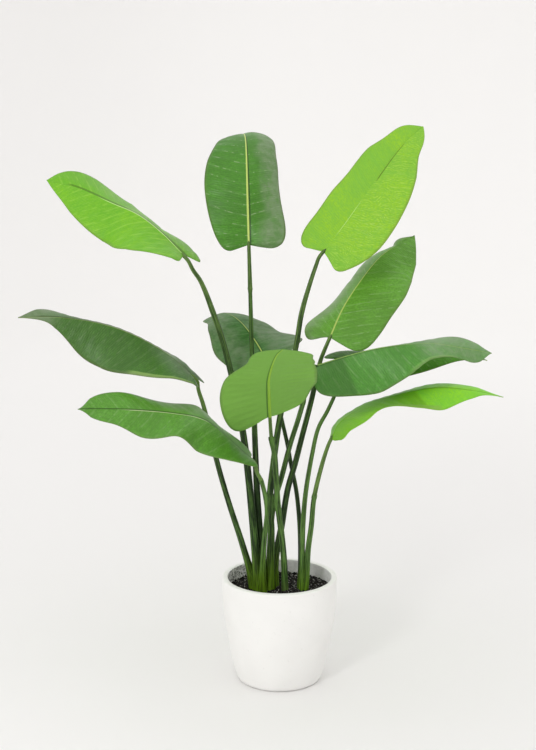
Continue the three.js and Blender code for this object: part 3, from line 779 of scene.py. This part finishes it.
def stem_skin():
    """Shader group: streaks along a stem, lighter or darker by its tone, partly its own colour and partly
    painted light and shade, and its foot in the soil.
    """
    tree, given, made = surface_tree("stem_skin", ["Dark", "Light", "Foot"], ["Foot height"])
    place = object_place(tree)
    climb = joined(tree, Z=attribute(tree, "climb") * 16.0)
    drawn = {0: scaled(attribute(tree, "around", "Vector"), 2.4), 1: climb}
    streak = noise(output_of(tree, "ShaderNodeVectorMath", drawn, operation="ADD"), 1.0, 3.0, 0.6)
    patch = noise(place, 45.0, 3.0, 0.6)
    # The tone is partly the stem's own colour and partly painted light and shade.
    mixed = between(streak, 0.38, 0.62, -0.38, 0.38) + attribute(tree, "tone")
    mixed = maths("ADD", (patch - 0.5) * 0.7, mixed, clamp=True)
    uneven = (patch - 0.5) * 0.06 + axis(place, "Z")
    low = 1.0 - between(uneven, (SOIL_LEVEL + 1) * MM, given["Foot height"])
    foot = scaled(given["Foot"], between(streak, 0.38, 0.62, 0.6, 1.45))
    plug(tree, made["Colour"], blend(low, blend(mixed, given["Dark"], given["Light"]), foot))
    plug(tree, made["Roughness"], patch * 0.15 + 0.38)
    plug(tree, made["Height"], streak)
    return tree


def stem_material(name, skin, dark, light, foot, foot_height):
    """The finish of stems or stalks, from their greens."""
    values = {"Dark": dark, "Light": light, "Foot": foot, "Foot height": foot_height}
    return surface_material(name, 0.2, skin, values, 0.0003)


def pot_material(settings):
    """Matt white body, faintly mottled, and greyer with splashed soil inside the mouth, darker on the left
    as painted shade.
    """
    material, tree, shader = new_material("pot_body", 0.35)
    place = object_place(tree)
    body = Vector(settings.glaze)
    cloud = between(noise(place, 9.0, 3.0), 0.3, 0.7)
    speck = between(noise(place, 160.0, 2.0), 0.66, 0.75, 0.0, 0.12)
    colour = blend(speck, blend(cloud, body, body * 0.965), (0.45, 0.44, 0.41))
    dirt = between(noise(place, 170.0, 3.0, 0.7), 0.42, 0.62)
    # Splashed soil that thins out upwards, and painted shade that thins out to the right, darkening the
    # left of the inner wall.
    splash_and_shade = between(axis(place, "Z"), *SPLASH_HEIGHTS, 1.0, 0.7)
    splash_and_shade *= between(axis(place, "X"), *SPLASH_AND_SHADE_SIDES, 1.0, 0.12)
    grey = blend(dirt * splash_and_shade, (0.95, 0.945, 0.93), (0.05, 0.045, 0.04))
    colour = blend(attribute(tree, "inside"), colour, grey)
    relief = noise(place, 30.0, 2.0) * 3.0 + noise(place, 600.0, 2.0)
    dress(tree, shader, colour, cloud * 0.1 + 0.55, relief, 0.0002)
    return material


def soil_material():
    """Dark granules, each a little different, with a few that are grey."""
    material, tree, shader = new_material("soil_granules", 0.15)
    place = object_place(tree)
    patch = between(noise(place, 240.0, 2.0), 0.45, 0.65)
    colour = blend(patch, (0.001, 0.001, 0.001), (0.034, 0.028, 0.022))
    grey = between(noise(place, 230.0, 1.0), 0.61, 0.66)
    colour = blend(grey, colour, (0.36, 0.35, 0.33))
    dress(tree, shader, colour, patch * 0.3 + 0.6, noise(place, 1500.0, 2.0), 0.0004)
    return material


def studio_material(settings):
    """Pale paper that the eye sees brighter than the light it throws back on the plant."""
    material, tree, shader = new_material("studio_paper", 0.0)
    place = object_place(tree)
    far = output_of(tree, "ShaderNodeVectorMath", {0: place}, "Value", operation="LENGTH")
    glow = between(far, *GLOW_REACH, 0.0, settings.glow) * between(axis(place, "X"), *GLOW_SIDES, 0.6, 1.1)
    plug(tree, shader["Base Color"], settings.floor)
    plug(tree, shader["Roughness"], 0.9)
    plug(tree, shader["Emission Color"], (1, 0.995, 0.975))
    seen = output_of(tree, "ShaderNodeLightPath", output="Is Camera Ray")
    plug(tree, shader["Emission Strength"], seen * glow)
    return material


# Pot and soil


def inner_side():
    """Radius and height of the filling where it meets the pot, from the floor up."""
    mouth = POT_HIGH.x / MM - POT_WALL
    return [(POT_FOOT - 5, POT_FLOOR), (POT_FOOT + 8, 50), (POT_FOOT + 15.5, 92), (mouth - 6, 130),
            (mouth - 1.5, 170), (mouth - POT_FIT, SOIL_LEVEL)]


def lathe(name, profile, sides):
    """A closed solid of revolution. profile is radius and height, from axis to axis."""
    mesh = bpy.data.meshes.new(name)
    bm = bmesh.new()
    rings = []
    angles = [2 * math.pi * k / sides for k in range(sides)]
    for radius, height in profile:
        turned = angles if radius > 0 else [0]
        rings.append([bm.verts.new((radius * MM * math.cos(a), radius * MM * math.sin(a), height * MM))
                      for a in turned])
    for low, high in zip(rings, rings[1:]):
        for k in range(sides):
            square = ((low, k), (low, k + 1), (high, k + 1), (high, k))
            bm.faces.new(list(dict.fromkeys(ring[i % len(ring)] for ring, i in square)))
    bmesh.ops.recalc_face_normals(bm, faces=bm.faces)
    bm.to_mesh(mesh)
    bm.free()
    shade_smooth(mesh)
    return mesh


def make_pot(settings):
    """The pot: a round wall with a soft lip that turns under into its foot."""
    radius, height = POT_HIGH.x / MM, POT_HIGH.z / MM
    outer = Path([[POT_FOOT, 0.8, 0], [POT_FOOT + 5, 5, 0], [POT_FOOT + 10, 20, 0], [POT_FOOT + 18, 50, 0],
                  [POT_FOOT + 25.5, 92, 0], [radius - 6, 130, 0], [radius - 1.5, 170, 0], [radius, 205, 0],
                  [radius, height - 4, 0]])
    wall = [tuple(p[:2]) for p in outer.at(np.linspace(0, 1, 60))[0]]
    turn = np.linspace(0.1, math.pi / 2, 6)
    lip = [(radius - 4 + 4 * math.cos(a), height - 4 + 4 * math.sin(a)) for a in turn]
    lip += [(radius - 10.5 - 1.5 * math.sin(a), height - 1.5 + 1.5 * math.cos(a)) for a in turn - 0.1]
    inner = [(radius - POT_WALL, height - 5), *((r + POT_FIT, z) for r, z in reversed(inner_side()))]
    base = [(0, 0), (POT_FOOT - 2, 0), (POT_FOOT - 0.6, 0.2)]
    mesh = lathe("pot_shell", [*base, *wall, *lip, *inner, (0, POT_FLOOR)], settings.sides)
    outside = 1 + (len(wall) + len(lip)) * settings.sides
    set_attribute(mesh, "inside", np.arange(len(mesh.vertices)) >= outside)
    mesh.materials.append(pot_material(settings))
    finish_piece(new_object("pot_shell", mesh), "pot")


def granule_tree():
    """Geometry Nodes: granules scattered over the faces that look up."""
    tree, given, made = geometry_tree("scattered_granules", {
        "Grain": "Float", "Density": "Float", "Seed": "Int", "Top": "Float"})
    height = axis(output_of(tree, "GeometryNodeInputPosition"), "Z")
    above = output_of(tree, "FunctionNodeCompare", {0: height, 1: given["Top"]},
                      data_type="FLOAT", operation="GREATER_THAN")
    points = output_of(tree, "GeometryNodeDistributePointsOnFaces", {
        "Mesh": given["Geometry"], "Selection": above, "Density": given["Density"], "Seed": given["Seed"]},
        "Points")
    ball = output_of(tree, "GeometryNodeMeshIcoSphere", {"Radius": given["Grain"], "Subdivisions": 1})
    turn, size = (
        output_of(tree, "FunctionNodeRandomValue", {0: least, 1: most, "Seed": given["Seed"]},
                  data_type="FLOAT_VECTOR")
        for least, most in (((0, 0, 0), (6.28, 6.28, 6.28)), ((0.45, 0.55, 0.4), (1.35, 1.15, 0.95))))
    placed = output_of(tree, "GeometryNodeInstanceOnPoints", {
        "Points": points, "Instance": ball, "Rotation": turn, "Scale": size})
    whole = add_node(tree, "GeometryNodeJoinGeometry")
    plug(tree, whole.inputs[0], output_of(tree, "GeometryNodeRealizeInstances", {0: placed}))
    plug(tree, whole.inputs[0], given["Geometry"])
    put_out(Value(tree, whole.outputs[0]), given, made)
    return tree


def make_soil(settings):
    """The filling: an uneven bed with granules over it."""
    side = inner_side()
    edge, bed, floor = side[-1][0], SOIL_LEVEL - SOIL_DROP, POT_FLOOR + POT_FIT
    top = [(edge * share, bed) for share in np.linspace(0.97, 0.03, 26)]
    profile = [(0, floor), (side[0][0], floor), *side[1:-1], (edge, bed), *top, (0, bed)]
    mesh = lathe("soil_bed", profile, SOIL_SIDES)
    for vertex in mesh.vertices:
        x, y, z = vertex.co / MM
        if z > bed - 0.8 and math.hypot(x, y) < edge - 1:
            vertex.co.z += SOIL_BUMP * MM * (math.sin(x / 13 + 0.7) + math.cos(y / 11 + x / 37))
    piece = new_object("soil_bed", mesh)
    use_tree(piece, granule_tree(), {
        "Grain": settings.grain, "Density": settings.density, "Seed": settings.seed,
        "Top": (SOIL_LEVEL - GRANULE_DEPTH) * MM, "Material": soil_material()})
    finish_piece(baked(piece), "soil")


# Stems and stalks


def stem_path(leaf):
    """A leaf's stem from deep in the soil to the blade, and the share of it where the socket lies."""
    x, y, _ = leaf["stem"][0]
    start, along = Path(leaf["rib"]).at(np.array(0.0))
    path = Path([[x, y, SOIL_LEVEL - STEM_DEPTH], *leaf["stem"], start - NECK * along, start], even=False)
    joint = np.interp(leaf["joint"], path.points[:, 2], path.shares)
    return path, float(joint)


def tube_tree():
    """Geometry Nodes: a fluted round stem along a curve, as thick as the curve's radius."""
    tree, given, made = geometry_tree("round_stem", {
        "Sides": "Int", "Flutes": "Int", "Flute": "Float", "Tone": "Float", "Tone end": "Float"})

    def stored(geometry, name, value, kind):
        return output_of(tree, "GeometryNodeStoreNamedAttribute", {
            "Geometry": geometry, "Name": name, "Value": value}, data_type=kind, domain="POINT")

    circle = {"Resolution": given["Sides"], "Radius": 1.0}
    ring = output_of(tree, "GeometryNodeCurvePrimitiveCircle", circle)
    place = output_of(tree, "GeometryNodeInputPosition")
    share, length = (output_of(tree, "GeometryNodeSplineParameter", output=n) for n in ("Factor", "Length"))
    rise = maths("COSINE", share * given["Flutes"] * (2 * math.pi)) * given["Flute"] + 1.0
    section = output_of(tree, "GeometryNodeSetPosition", {
        "Geometry": stored(ring, "around", place, "FLOAT_VECTOR"), "Position": scaled(place, rise)})
    tone = output_of(tree, "ShaderNodeMapRange", {
        "Value": share, "To Min": given["Tone"], "To Max": given["Tone end"]})
    measured = stored(given["Geometry"], "climb", length, "FLOAT")
    tube = output_of(tree, "GeometryNodeCurveToMesh", {
        "Curve": stored(measured, "tone", tone, "FLOAT"), "Profile Curve": section, "Fill Caps": True,
        "Scale": output_of(tree, "GeometryNodeInputRadius")})
    put_out(output_of(tree, "GeometryNodeSetShadeSmooth", {0: tube}), given, made)
    return tree


def grow(name, points, radii, tree, settings, tones, material):
    """A tube through points, with its radii, and its tones at the start and the end."""
    curve = bpy.data.curves.new(name, "CURVE")
    curve.dimensions = "3D"
    spline = curve.splines.new("POLY")
    spline.points.add(len(points) - 1)
    spline.points.foreach_set("co", np.column_stack([points * MM, np.ones(len(points))]).ravel())
    spline.points.foreach_set("radius", radii * MM)
    piece = new_object(name, curve)
    use_tree(piece, tree, {"Sides": settings.sides, "Flutes": settings.flutes, "Flute": settings.flute,
                           "Tone": tones[0], "Tone end": tones[1], "Material": material})
    return baked(piece)


def ring_shares(path, low, high, step, extra):
    """Shares of a path at even steps, with extra ones where its thickness changes quickly."""
    count = max(4, round((high - low) * path.length * MM / step))
    near = [share for share in extra if low <= share <= high]
    return np.unique(np.concatenate([np.linspace(low, high, count), near]))


def lower_stem(name, leaf, tree, settings, material):
    """The stem up to its socket, swollen where it leaves the soil."""
    path, joint = stem_path(leaf)
    mouth = [joint - d / path.length for d in SOCKET_RINGS]
    shares = ring_shares(path, 0, joint, settings.step, mouth)
    points, _ = path.at(shares)
    radii = leaf["foot"] + (leaf["top"] - leaf["foot"]) * shares
    above = np.maximum(points[:, 2] - SOIL_LEVEL, 0)
    radii *= 1 + FOOT_SWELL[leaf["clump"]] * np.exp(-above / FOOT_SWELL_HEIGHT)
    depth = (joint - shares) * path.length
    radii *= 1 + SOCKET_SWELL * (1 - fade(depth, 6, 9)) * fade(depth, -0.8, 1.2)
    return grow("stem_" + name, points, radii, tree, settings, leaf["tone"][:2], material)


def stalk(name, leaf, tree, settings, material):
    """The leaf's own stalk, with a small collar where it plugs into the stem, up to the midrib."""
    path, joint = stem_path(leaf)
    collar = [joint + d / path.length for d in COLLAR_RINGS]
    shares = ring_shares(path, joint - PLUG / path.length, 1, settings.step, collar)
    points, along = path.at(shares)
    radii = (leaf["foot"] + (leaf["top"] - leaf["foot"]) * shares) * leaf.get("slim", STALK_SLIM)
    height = (shares - joint) * path.length
    radii *= 1 + COLLAR_SWELL * fade(height, -1, 0) * (1 - fade(height, 2.2, 3))
    end = np.clip(6 * shares - 5, 0, 1)
    radii = radii * (1 - end) + (RIB_HALF - 0.2) * end
    onward, down, tip_radii = STALK_TIP
    points = np.vstack([points, points[-1] + np.outer(onward, along[-1]) - np.outer(down, [0, 0, 1])])
    radii = np.concatenate([radii, tip_radii])
    piece = grow("leaf_stalk_" + name, points, radii, tree, settings, leaf["tone"][1:], material)
    finish_piece(piece, "stalk_" + name)


def fuse(name, parts):
    """Joins closed meshes that cross into one solid."""
    first, rest = parts[0], parts[1:]
    first.name = name
    for part in rest:
        modifier = first.modifiers.new(part.name, "BOOLEAN")
        modifier.operation = "UNION"
        modifier.solver = "MANIFOLD"
        modifier.object = part
    whole = baked(first)
    for part in rest:
        bpy.data.objects.remove(part)
    return whole


def make_stems(settings):
    """The lower stems, fused where they grow from one foot, and the eleven stalks."""
    tree, skin = tube_tree(), stem_skin()
    green = stem_material("stalk_skin", skin, *STALK_GREENS)
    for clump, greens in STEM_GREENS.items():
        bark = stem_material(clump + "_skin", skin, *greens)
        stems = [lower_stem(name, leaf, tree, settings, bark)
                 for name, leaf in LEAVES.items() if leaf["clump"] == clump]
        finish_piece(fuse(clump + "_grown", stems), clump)
    for name, leaf in LEAVES.items():
        stalk(name, leaf, tree, settings, green)


# Blades


def rib_frame(leaf, rib, share):
    """Places on the midrib, and there the way its face looks and its right-hand side."""
    place, along = rib.at(share)
    faces = np.array(leaf["face"], float)
    steps = np.linspace(0, 1, len(faces))
    up = np.stack([np.interp(np.clip(share, 0, 1), steps, column) for column in faces.T], -1)
    up = unit(up - (up * along).sum(-1, keepdims=True) * along)
    return place, up, np.cross(along, up)


def half_blade(leaf, rib, side, t, shares):
    """Points of a half blade and the way it faces: a row for each t, at these shares of the way out."""
    sign = 1 if side == "right" else -1
    form = leaf[side]
    lobe = form["lobe"] * np.sin(math.pi * np.minimum(t / LOBE_END, 1)) ** 2
    root, reach = ease(ROOT, t), ease(REACH, t)
    end = np.clip(reach, 0, 1)
    width = half_width(form, t)
    curl = math.radians(form["curl"])
    start = np.radians(ease(form["rise"], end)) * np.minimum(width / BLADE_FLAT, 1) ** 2 - curl / 2
    turn = start[:, None] + curl * shares
    along = root[:, None] + (reach - lobe - root)[:, None] * shares**VEIN_BEND
    place, up, out = rib_frame(leaf, rib, along)
    across = width[:, None] * (np.sin(turn) - np.sin(start)[:, None]) / curl
    above = width[:, None] * (np.cos(start)[:, None] - np.cos(turn)) / curl
    height, count = leaf["wave"]
    phase = 2 * math.pi * (count * end + (WAVE_SHIFT if sign > 0 else 0))
    above += height * shares**WAVE_GROWTH * (np.sin(phase) * np.minimum(width / WAVE_FULL, 1))[:, None]
    points = place + out * (sign * across)[..., None] + up * above[..., None]
    return points, unit(up * np.cos(turn)[..., None] - out * (sign * np.sin(turn))[..., None])


def half_width(form, t):
    least = BLADE_END + (BLADE_TIP - BLADE_END) * t
    return np.maximum(ease(form["width"], np.clip(ease(REACH, t), 0, 1)) * ease(OUT, t), least)


def vein_rows(leaf, rib, gap):
    """Rows at four to a side vein, evenly spaced halfway out, and how far along each one lies."""
    t = np.linspace(0, 1, 2000)
    walked = 0
    for side in ("left", "right"):
        middle, _ = half_blade(leaf, rib, side, t, np.full((len(t), 1), 0.5))
        steps = np.linalg.norm(np.diff(middle[:, 0], axis=0), axis=1)
        walked = walked + np.concatenate([[0], np.cumsum(steps)]) / 2
    count = round(walked[-1] / gap) * 4
    along = np.linspace(0, walked[-1], count + 1)
    return np.interp(along, walked, t), along


def half_sheet(leaf, rib, side, t, along, settings):
    """Upper and lower points of half a blade, and what its finish reads from them."""
    width = half_width(leaf[side], t)[:, None]
    rib_half = np.minimum(RIB_HALF * (1 - RIB_TAPER * t)[:, None], width / RIB_ROOM)
    inner = RIB_COLUMNS * (rib_half / width)
    far = inner[:, -1:] + (1 - inner[:, -1:]) * np.linspace(0, 1, settings.columns + 1)[1:]
    shares = np.hstack([inner, far])
    points, normals = half_blade(leaf, rib, side, t, shares)
    normals[:, 0] = rib_frame(leaf, rib, ease(ROOT, t))[1]
    out = shares * width
    bead = np.sqrt(np.clip(1 - (out / rib_half) ** 2, 0, 1))
    ripple = np.cos(2 * math.pi * along / (settings.vein_gap / MM))[:, None] * settings.vein_relief / MM
    folds = along / FOLD_GAP + leaf["foot"]
    fold = FOLD_HEIGHT * np.sin(2 * math.pi * folds)[:, None] * fade(out, *FOLD_START)
    relief = (ripple + fold) * (fade(out, *VEIN_START) * fade(width - out, *VEIN_STOP))
    lift = relief + bead * (settings.bead / MM * (1 - 1.5 * fade(t, 0.1, 0.95)))[:, None]
    keel = bead * (RIB_DEPTH + (RIB_TIP_DEPTH - RIB_DEPTH) * t)[:, None]
    thick = settings.thickness / MM * (1 - MARGIN_THINNING * shares)
    sign = 1 if side == "right" else -1
    return {
        "upper": points + normals * lift[..., None],
        "lower": points + normals * (relief - thick - keel)[..., None],
        "across": shares * sign,
        "out": out * sign,
        "edge": 1 - fade(width - out, *EDGE),
    }


def closed_faces(rows, columns):
    """Faces of a grid of points, of a second one like it underneath, and of the rim between them."""
    count = rows * columns
    corner = np.arange(count).reshape(rows, columns)
    squares = [corner[:-1, :-1], corner[:-1, 1:], corner[1:, 1:], corner[1:, :-1]]
    upper = np.stack(squares, -1).reshape(-1, 4)
    rim = np.concatenate([corner[0, :-1], corner[:-1, -1], corner[-1, :0:-1], corner[:0:-1, 0]])
    after = np.roll(rim, -1)
    edge = np.stack([after, rim, rim + count, after + count], -1)
    return np.vstack([upper, upper[:, ::-1] + count, edge])


def make_blade(name, leaf, settings, surface):
    """A closed blade with raised side veins, a beaded midrib above and its keel underneath."""
    rib = Path(leaf["rib"])
    t, along = vein_rows(leaf, rib, settings.vein_gap / MM)
    left, right = (half_sheet(leaf, rib, side, t, along, settings) for side in ("left", "right"))
    both = {key: np.hstack([left[key][:, :0:-1], right[key]]) for key in left}
    rows, columns = both["across"].shape
    places = np.vstack([both["upper"].reshape(-1, 3), both["lower"].reshape(-1, 3)]) * MM
    mesh = bpy.data.meshes.new("leaf_" + name)
    mesh.from_pydata(places.tolist(), [], closed_faces(rows, columns).tolist())
    for key in ("across", "out", "edge"):
        set_attribute(mesh, key, np.tile(both[key].ravel(), 2))
    set_attribute(mesh, "along", np.tile(np.repeat(along, columns), 2))
    set_attribute(mesh, "reach", np.tile(np.repeat(ease(ROOT, t), columns), 2))
    set_attribute(mesh, "under", np.repeat([0, 1], rows * columns))
    shade_smooth(mesh)
    mesh.materials.append(blade_material(name, leaf, surface))
    finish_piece(new_object("leaf_" + name, mesh), "blade_" + name)


# Studio


def make_paper(settings):
    """A pale floor that turns up into a wall all round."""
    level = [(radius, 0) for radius in (0.5, 1, 2, 3, 4, PAPER_FLAT)]
    bend = [(PAPER_FLAT + PAPER_BEND * math.sin(a), PAPER_BEND - PAPER_BEND * math.cos(a))
            for a in np.linspace(0, math.pi / 2, 16)[1:]]
    wall = [(PAPER_FLAT + PAPER_BEND, height) for height in (3.5, 5)]
    rows = [*level, *bend, *wall]
    angles = np.linspace(0, 2 * math.pi, PAPER_SIDES, endpoint=False)
    ring = np.stack([np.cos(angles), np.sin(angles)], -1)
    places = [(0, 0, 0)] + [(x * r, y * r, z) for r, z in rows for x, y in ring]
    faces = [(0, 1 + k, 1 + (k + 1) % PAPER_SIDES) for k in range(PAPER_SIDES)]
    for first in range(1, 1 + (len(rows) - 1) * PAPER_SIDES, PAPER_SIDES):
        for k in range(PAPER_SIDES):
            a, b = first + k, first + (k + 1) % PAPER_SIDES
            faces.append((a, a + PAPER_SIDES, b + PAPER_SIDES, b))
    mesh = bpy.data.meshes.new("studio_paper")
    mesh.from_pydata(places, [], faces)
    shade_smooth(mesh)
    mesh.materials.append(studio_material(settings))
    new_object("studio_paper", mesh)


def make_stage(settings):
    """The paper, soft light with one large lamp, and the camera."""
    make_paper(settings)

    world = bpy.data.worlds.new("studio_room")
    world.use_nodes = True
    backdrop = world.node_tree.nodes["Background"].inputs
    backdrop["Color"].default_value = (1, 0.993, 0.995, 1)
    backdrop["Strength"].default_value = settings.room
    bpy.context.scene.world = world

    lamp = bpy.data.lights.new("key_lamp", "AREA")
    lamp.shape = "DISK"
    lamp.size = LAMP_SIZE
    lamp.energy = settings.key
    holder = new_object("key_lamp", lamp)
    holder.location = LAMP_PLACE
    holder.rotation_euler = (LAMP_AIM - LAMP_PLACE).to_track_quat("-Z", "Y").to_euler()

    camera = bpy.data.cameras.new("camera")
    camera.lens = CAMERA_LENS
    camera.clip_end = 60
    eye = new_object("camera", camera)
    eye.location = CAMERA_PLACE
    eye.rotation_euler = (math.pi / 2 - CAMERA_DOWN, 0, 0)
    bpy.context.scene.camera = eye
    bpy.context.scene.view_settings.view_transform = "Standard"


# Operators and panel


class PLANT_OT_pot(bpy.types.Operator):
    """Make the white pot"""

    bl_idname = "plant.pot"
    bl_label = "Pot"

    def execute(self, context):
        make_pot(context.scene.plant_pot)
        return {"FINISHED"}


class PLANT_OT_soil(bpy.types.Operator):
    """Fill the pot with soil and granules"""

    bl_idname = "plant.soil"
    bl_label = "Soil"

    def execute(self, context):
        make_soil(context.scene.plant_soil)
        return {"FINISHED"}


class PLANT_OT_stems(bpy.types.Operator):
    """Grow the stems with their sockets, and the stalks"""

    bl_idname = "plant.stems"
    bl_label = "Stems and stalks"

    def execute(self, context):
        make_stems(context.scene.plant_stems)
        return {"FINISHED"}


class PLANT_OT_blades(bpy.types.Operator):
    """Grow the eleven blades"""

    bl_idname = "plant.blades"
    bl_label = "Blades"

    def execute(self, context):
        surface = leaf_surface()
        for name, leaf in LEAVES.items():
            make_blade(name, leaf, context.scene.plant_blades, surface)
        return {"FINISHED"}


class PLANT_OT_stage(bpy.types.Operator):
    """Set up the floor, the light and the camera"""

    bl_idname = "plant.stage"
    bl_label = "Studio"

    def execute(self, context):
        make_stage(context.scene.plant_studio)
        return {"FINISHED"}


class PLANT_PT_sidebar(bpy.types.Panel):
    """Settings and steps of the plant"""

    bl_idname = "PLANT_PT_sidebar"
    bl_label = "Potted bird of paradise"
    bl_space_type = "VIEW_3D"
    bl_region_type = "UI"
    bl_category = "Plant"

    def draw(self, context):
        for holder, operator in SECTIONS:
            box = self.layout.box()
            settings = getattr(context.scene, holder)
            for field in settings.__annotations__:
                box.prop(settings, field)
            box.operator(operator)


SETTINGS = {
    "plant_pot": PotSettings,
    "plant_soil": SoilSettings,
    "plant_stems": StemSettings,
    "plant_blades": BladeSettings,
    "plant_studio": StudioSettings,
}
OPERATORS = [PLANT_OT_pot, PLANT_OT_soil, PLANT_OT_stems, PLANT_OT_blades, PLANT_OT_stage]
CLASSES = [*SETTINGS.values(), *OPERATORS, PLANT_PT_sidebar]
SECTIONS = list(zip(SETTINGS, [operator.bl_idname for operator in OPERATORS]))


def register():
    for item in CLASSES:
        bpy.utils.register_class(item)
    for holder, kind in SETTINGS.items():
        setattr(bpy.types.Scene, holder, PointerProperty(type=kind))


def unregister():
    for holder in SETTINGS:
        delattr(bpy.types.Scene, holder)
    for item in reversed(CLASSES):
        bpy.utils.unregister_class(item)


def main():
    """Makes the whole plant and its studio."""
    register()
    bpy.ops.plant.pot()
    bpy.ops.plant.soil()
    bpy.ops.plant.stems()
    bpy.ops.plant.blades()
    bpy.ops.plant.stage()


if __name__ == "__main__":
    main()
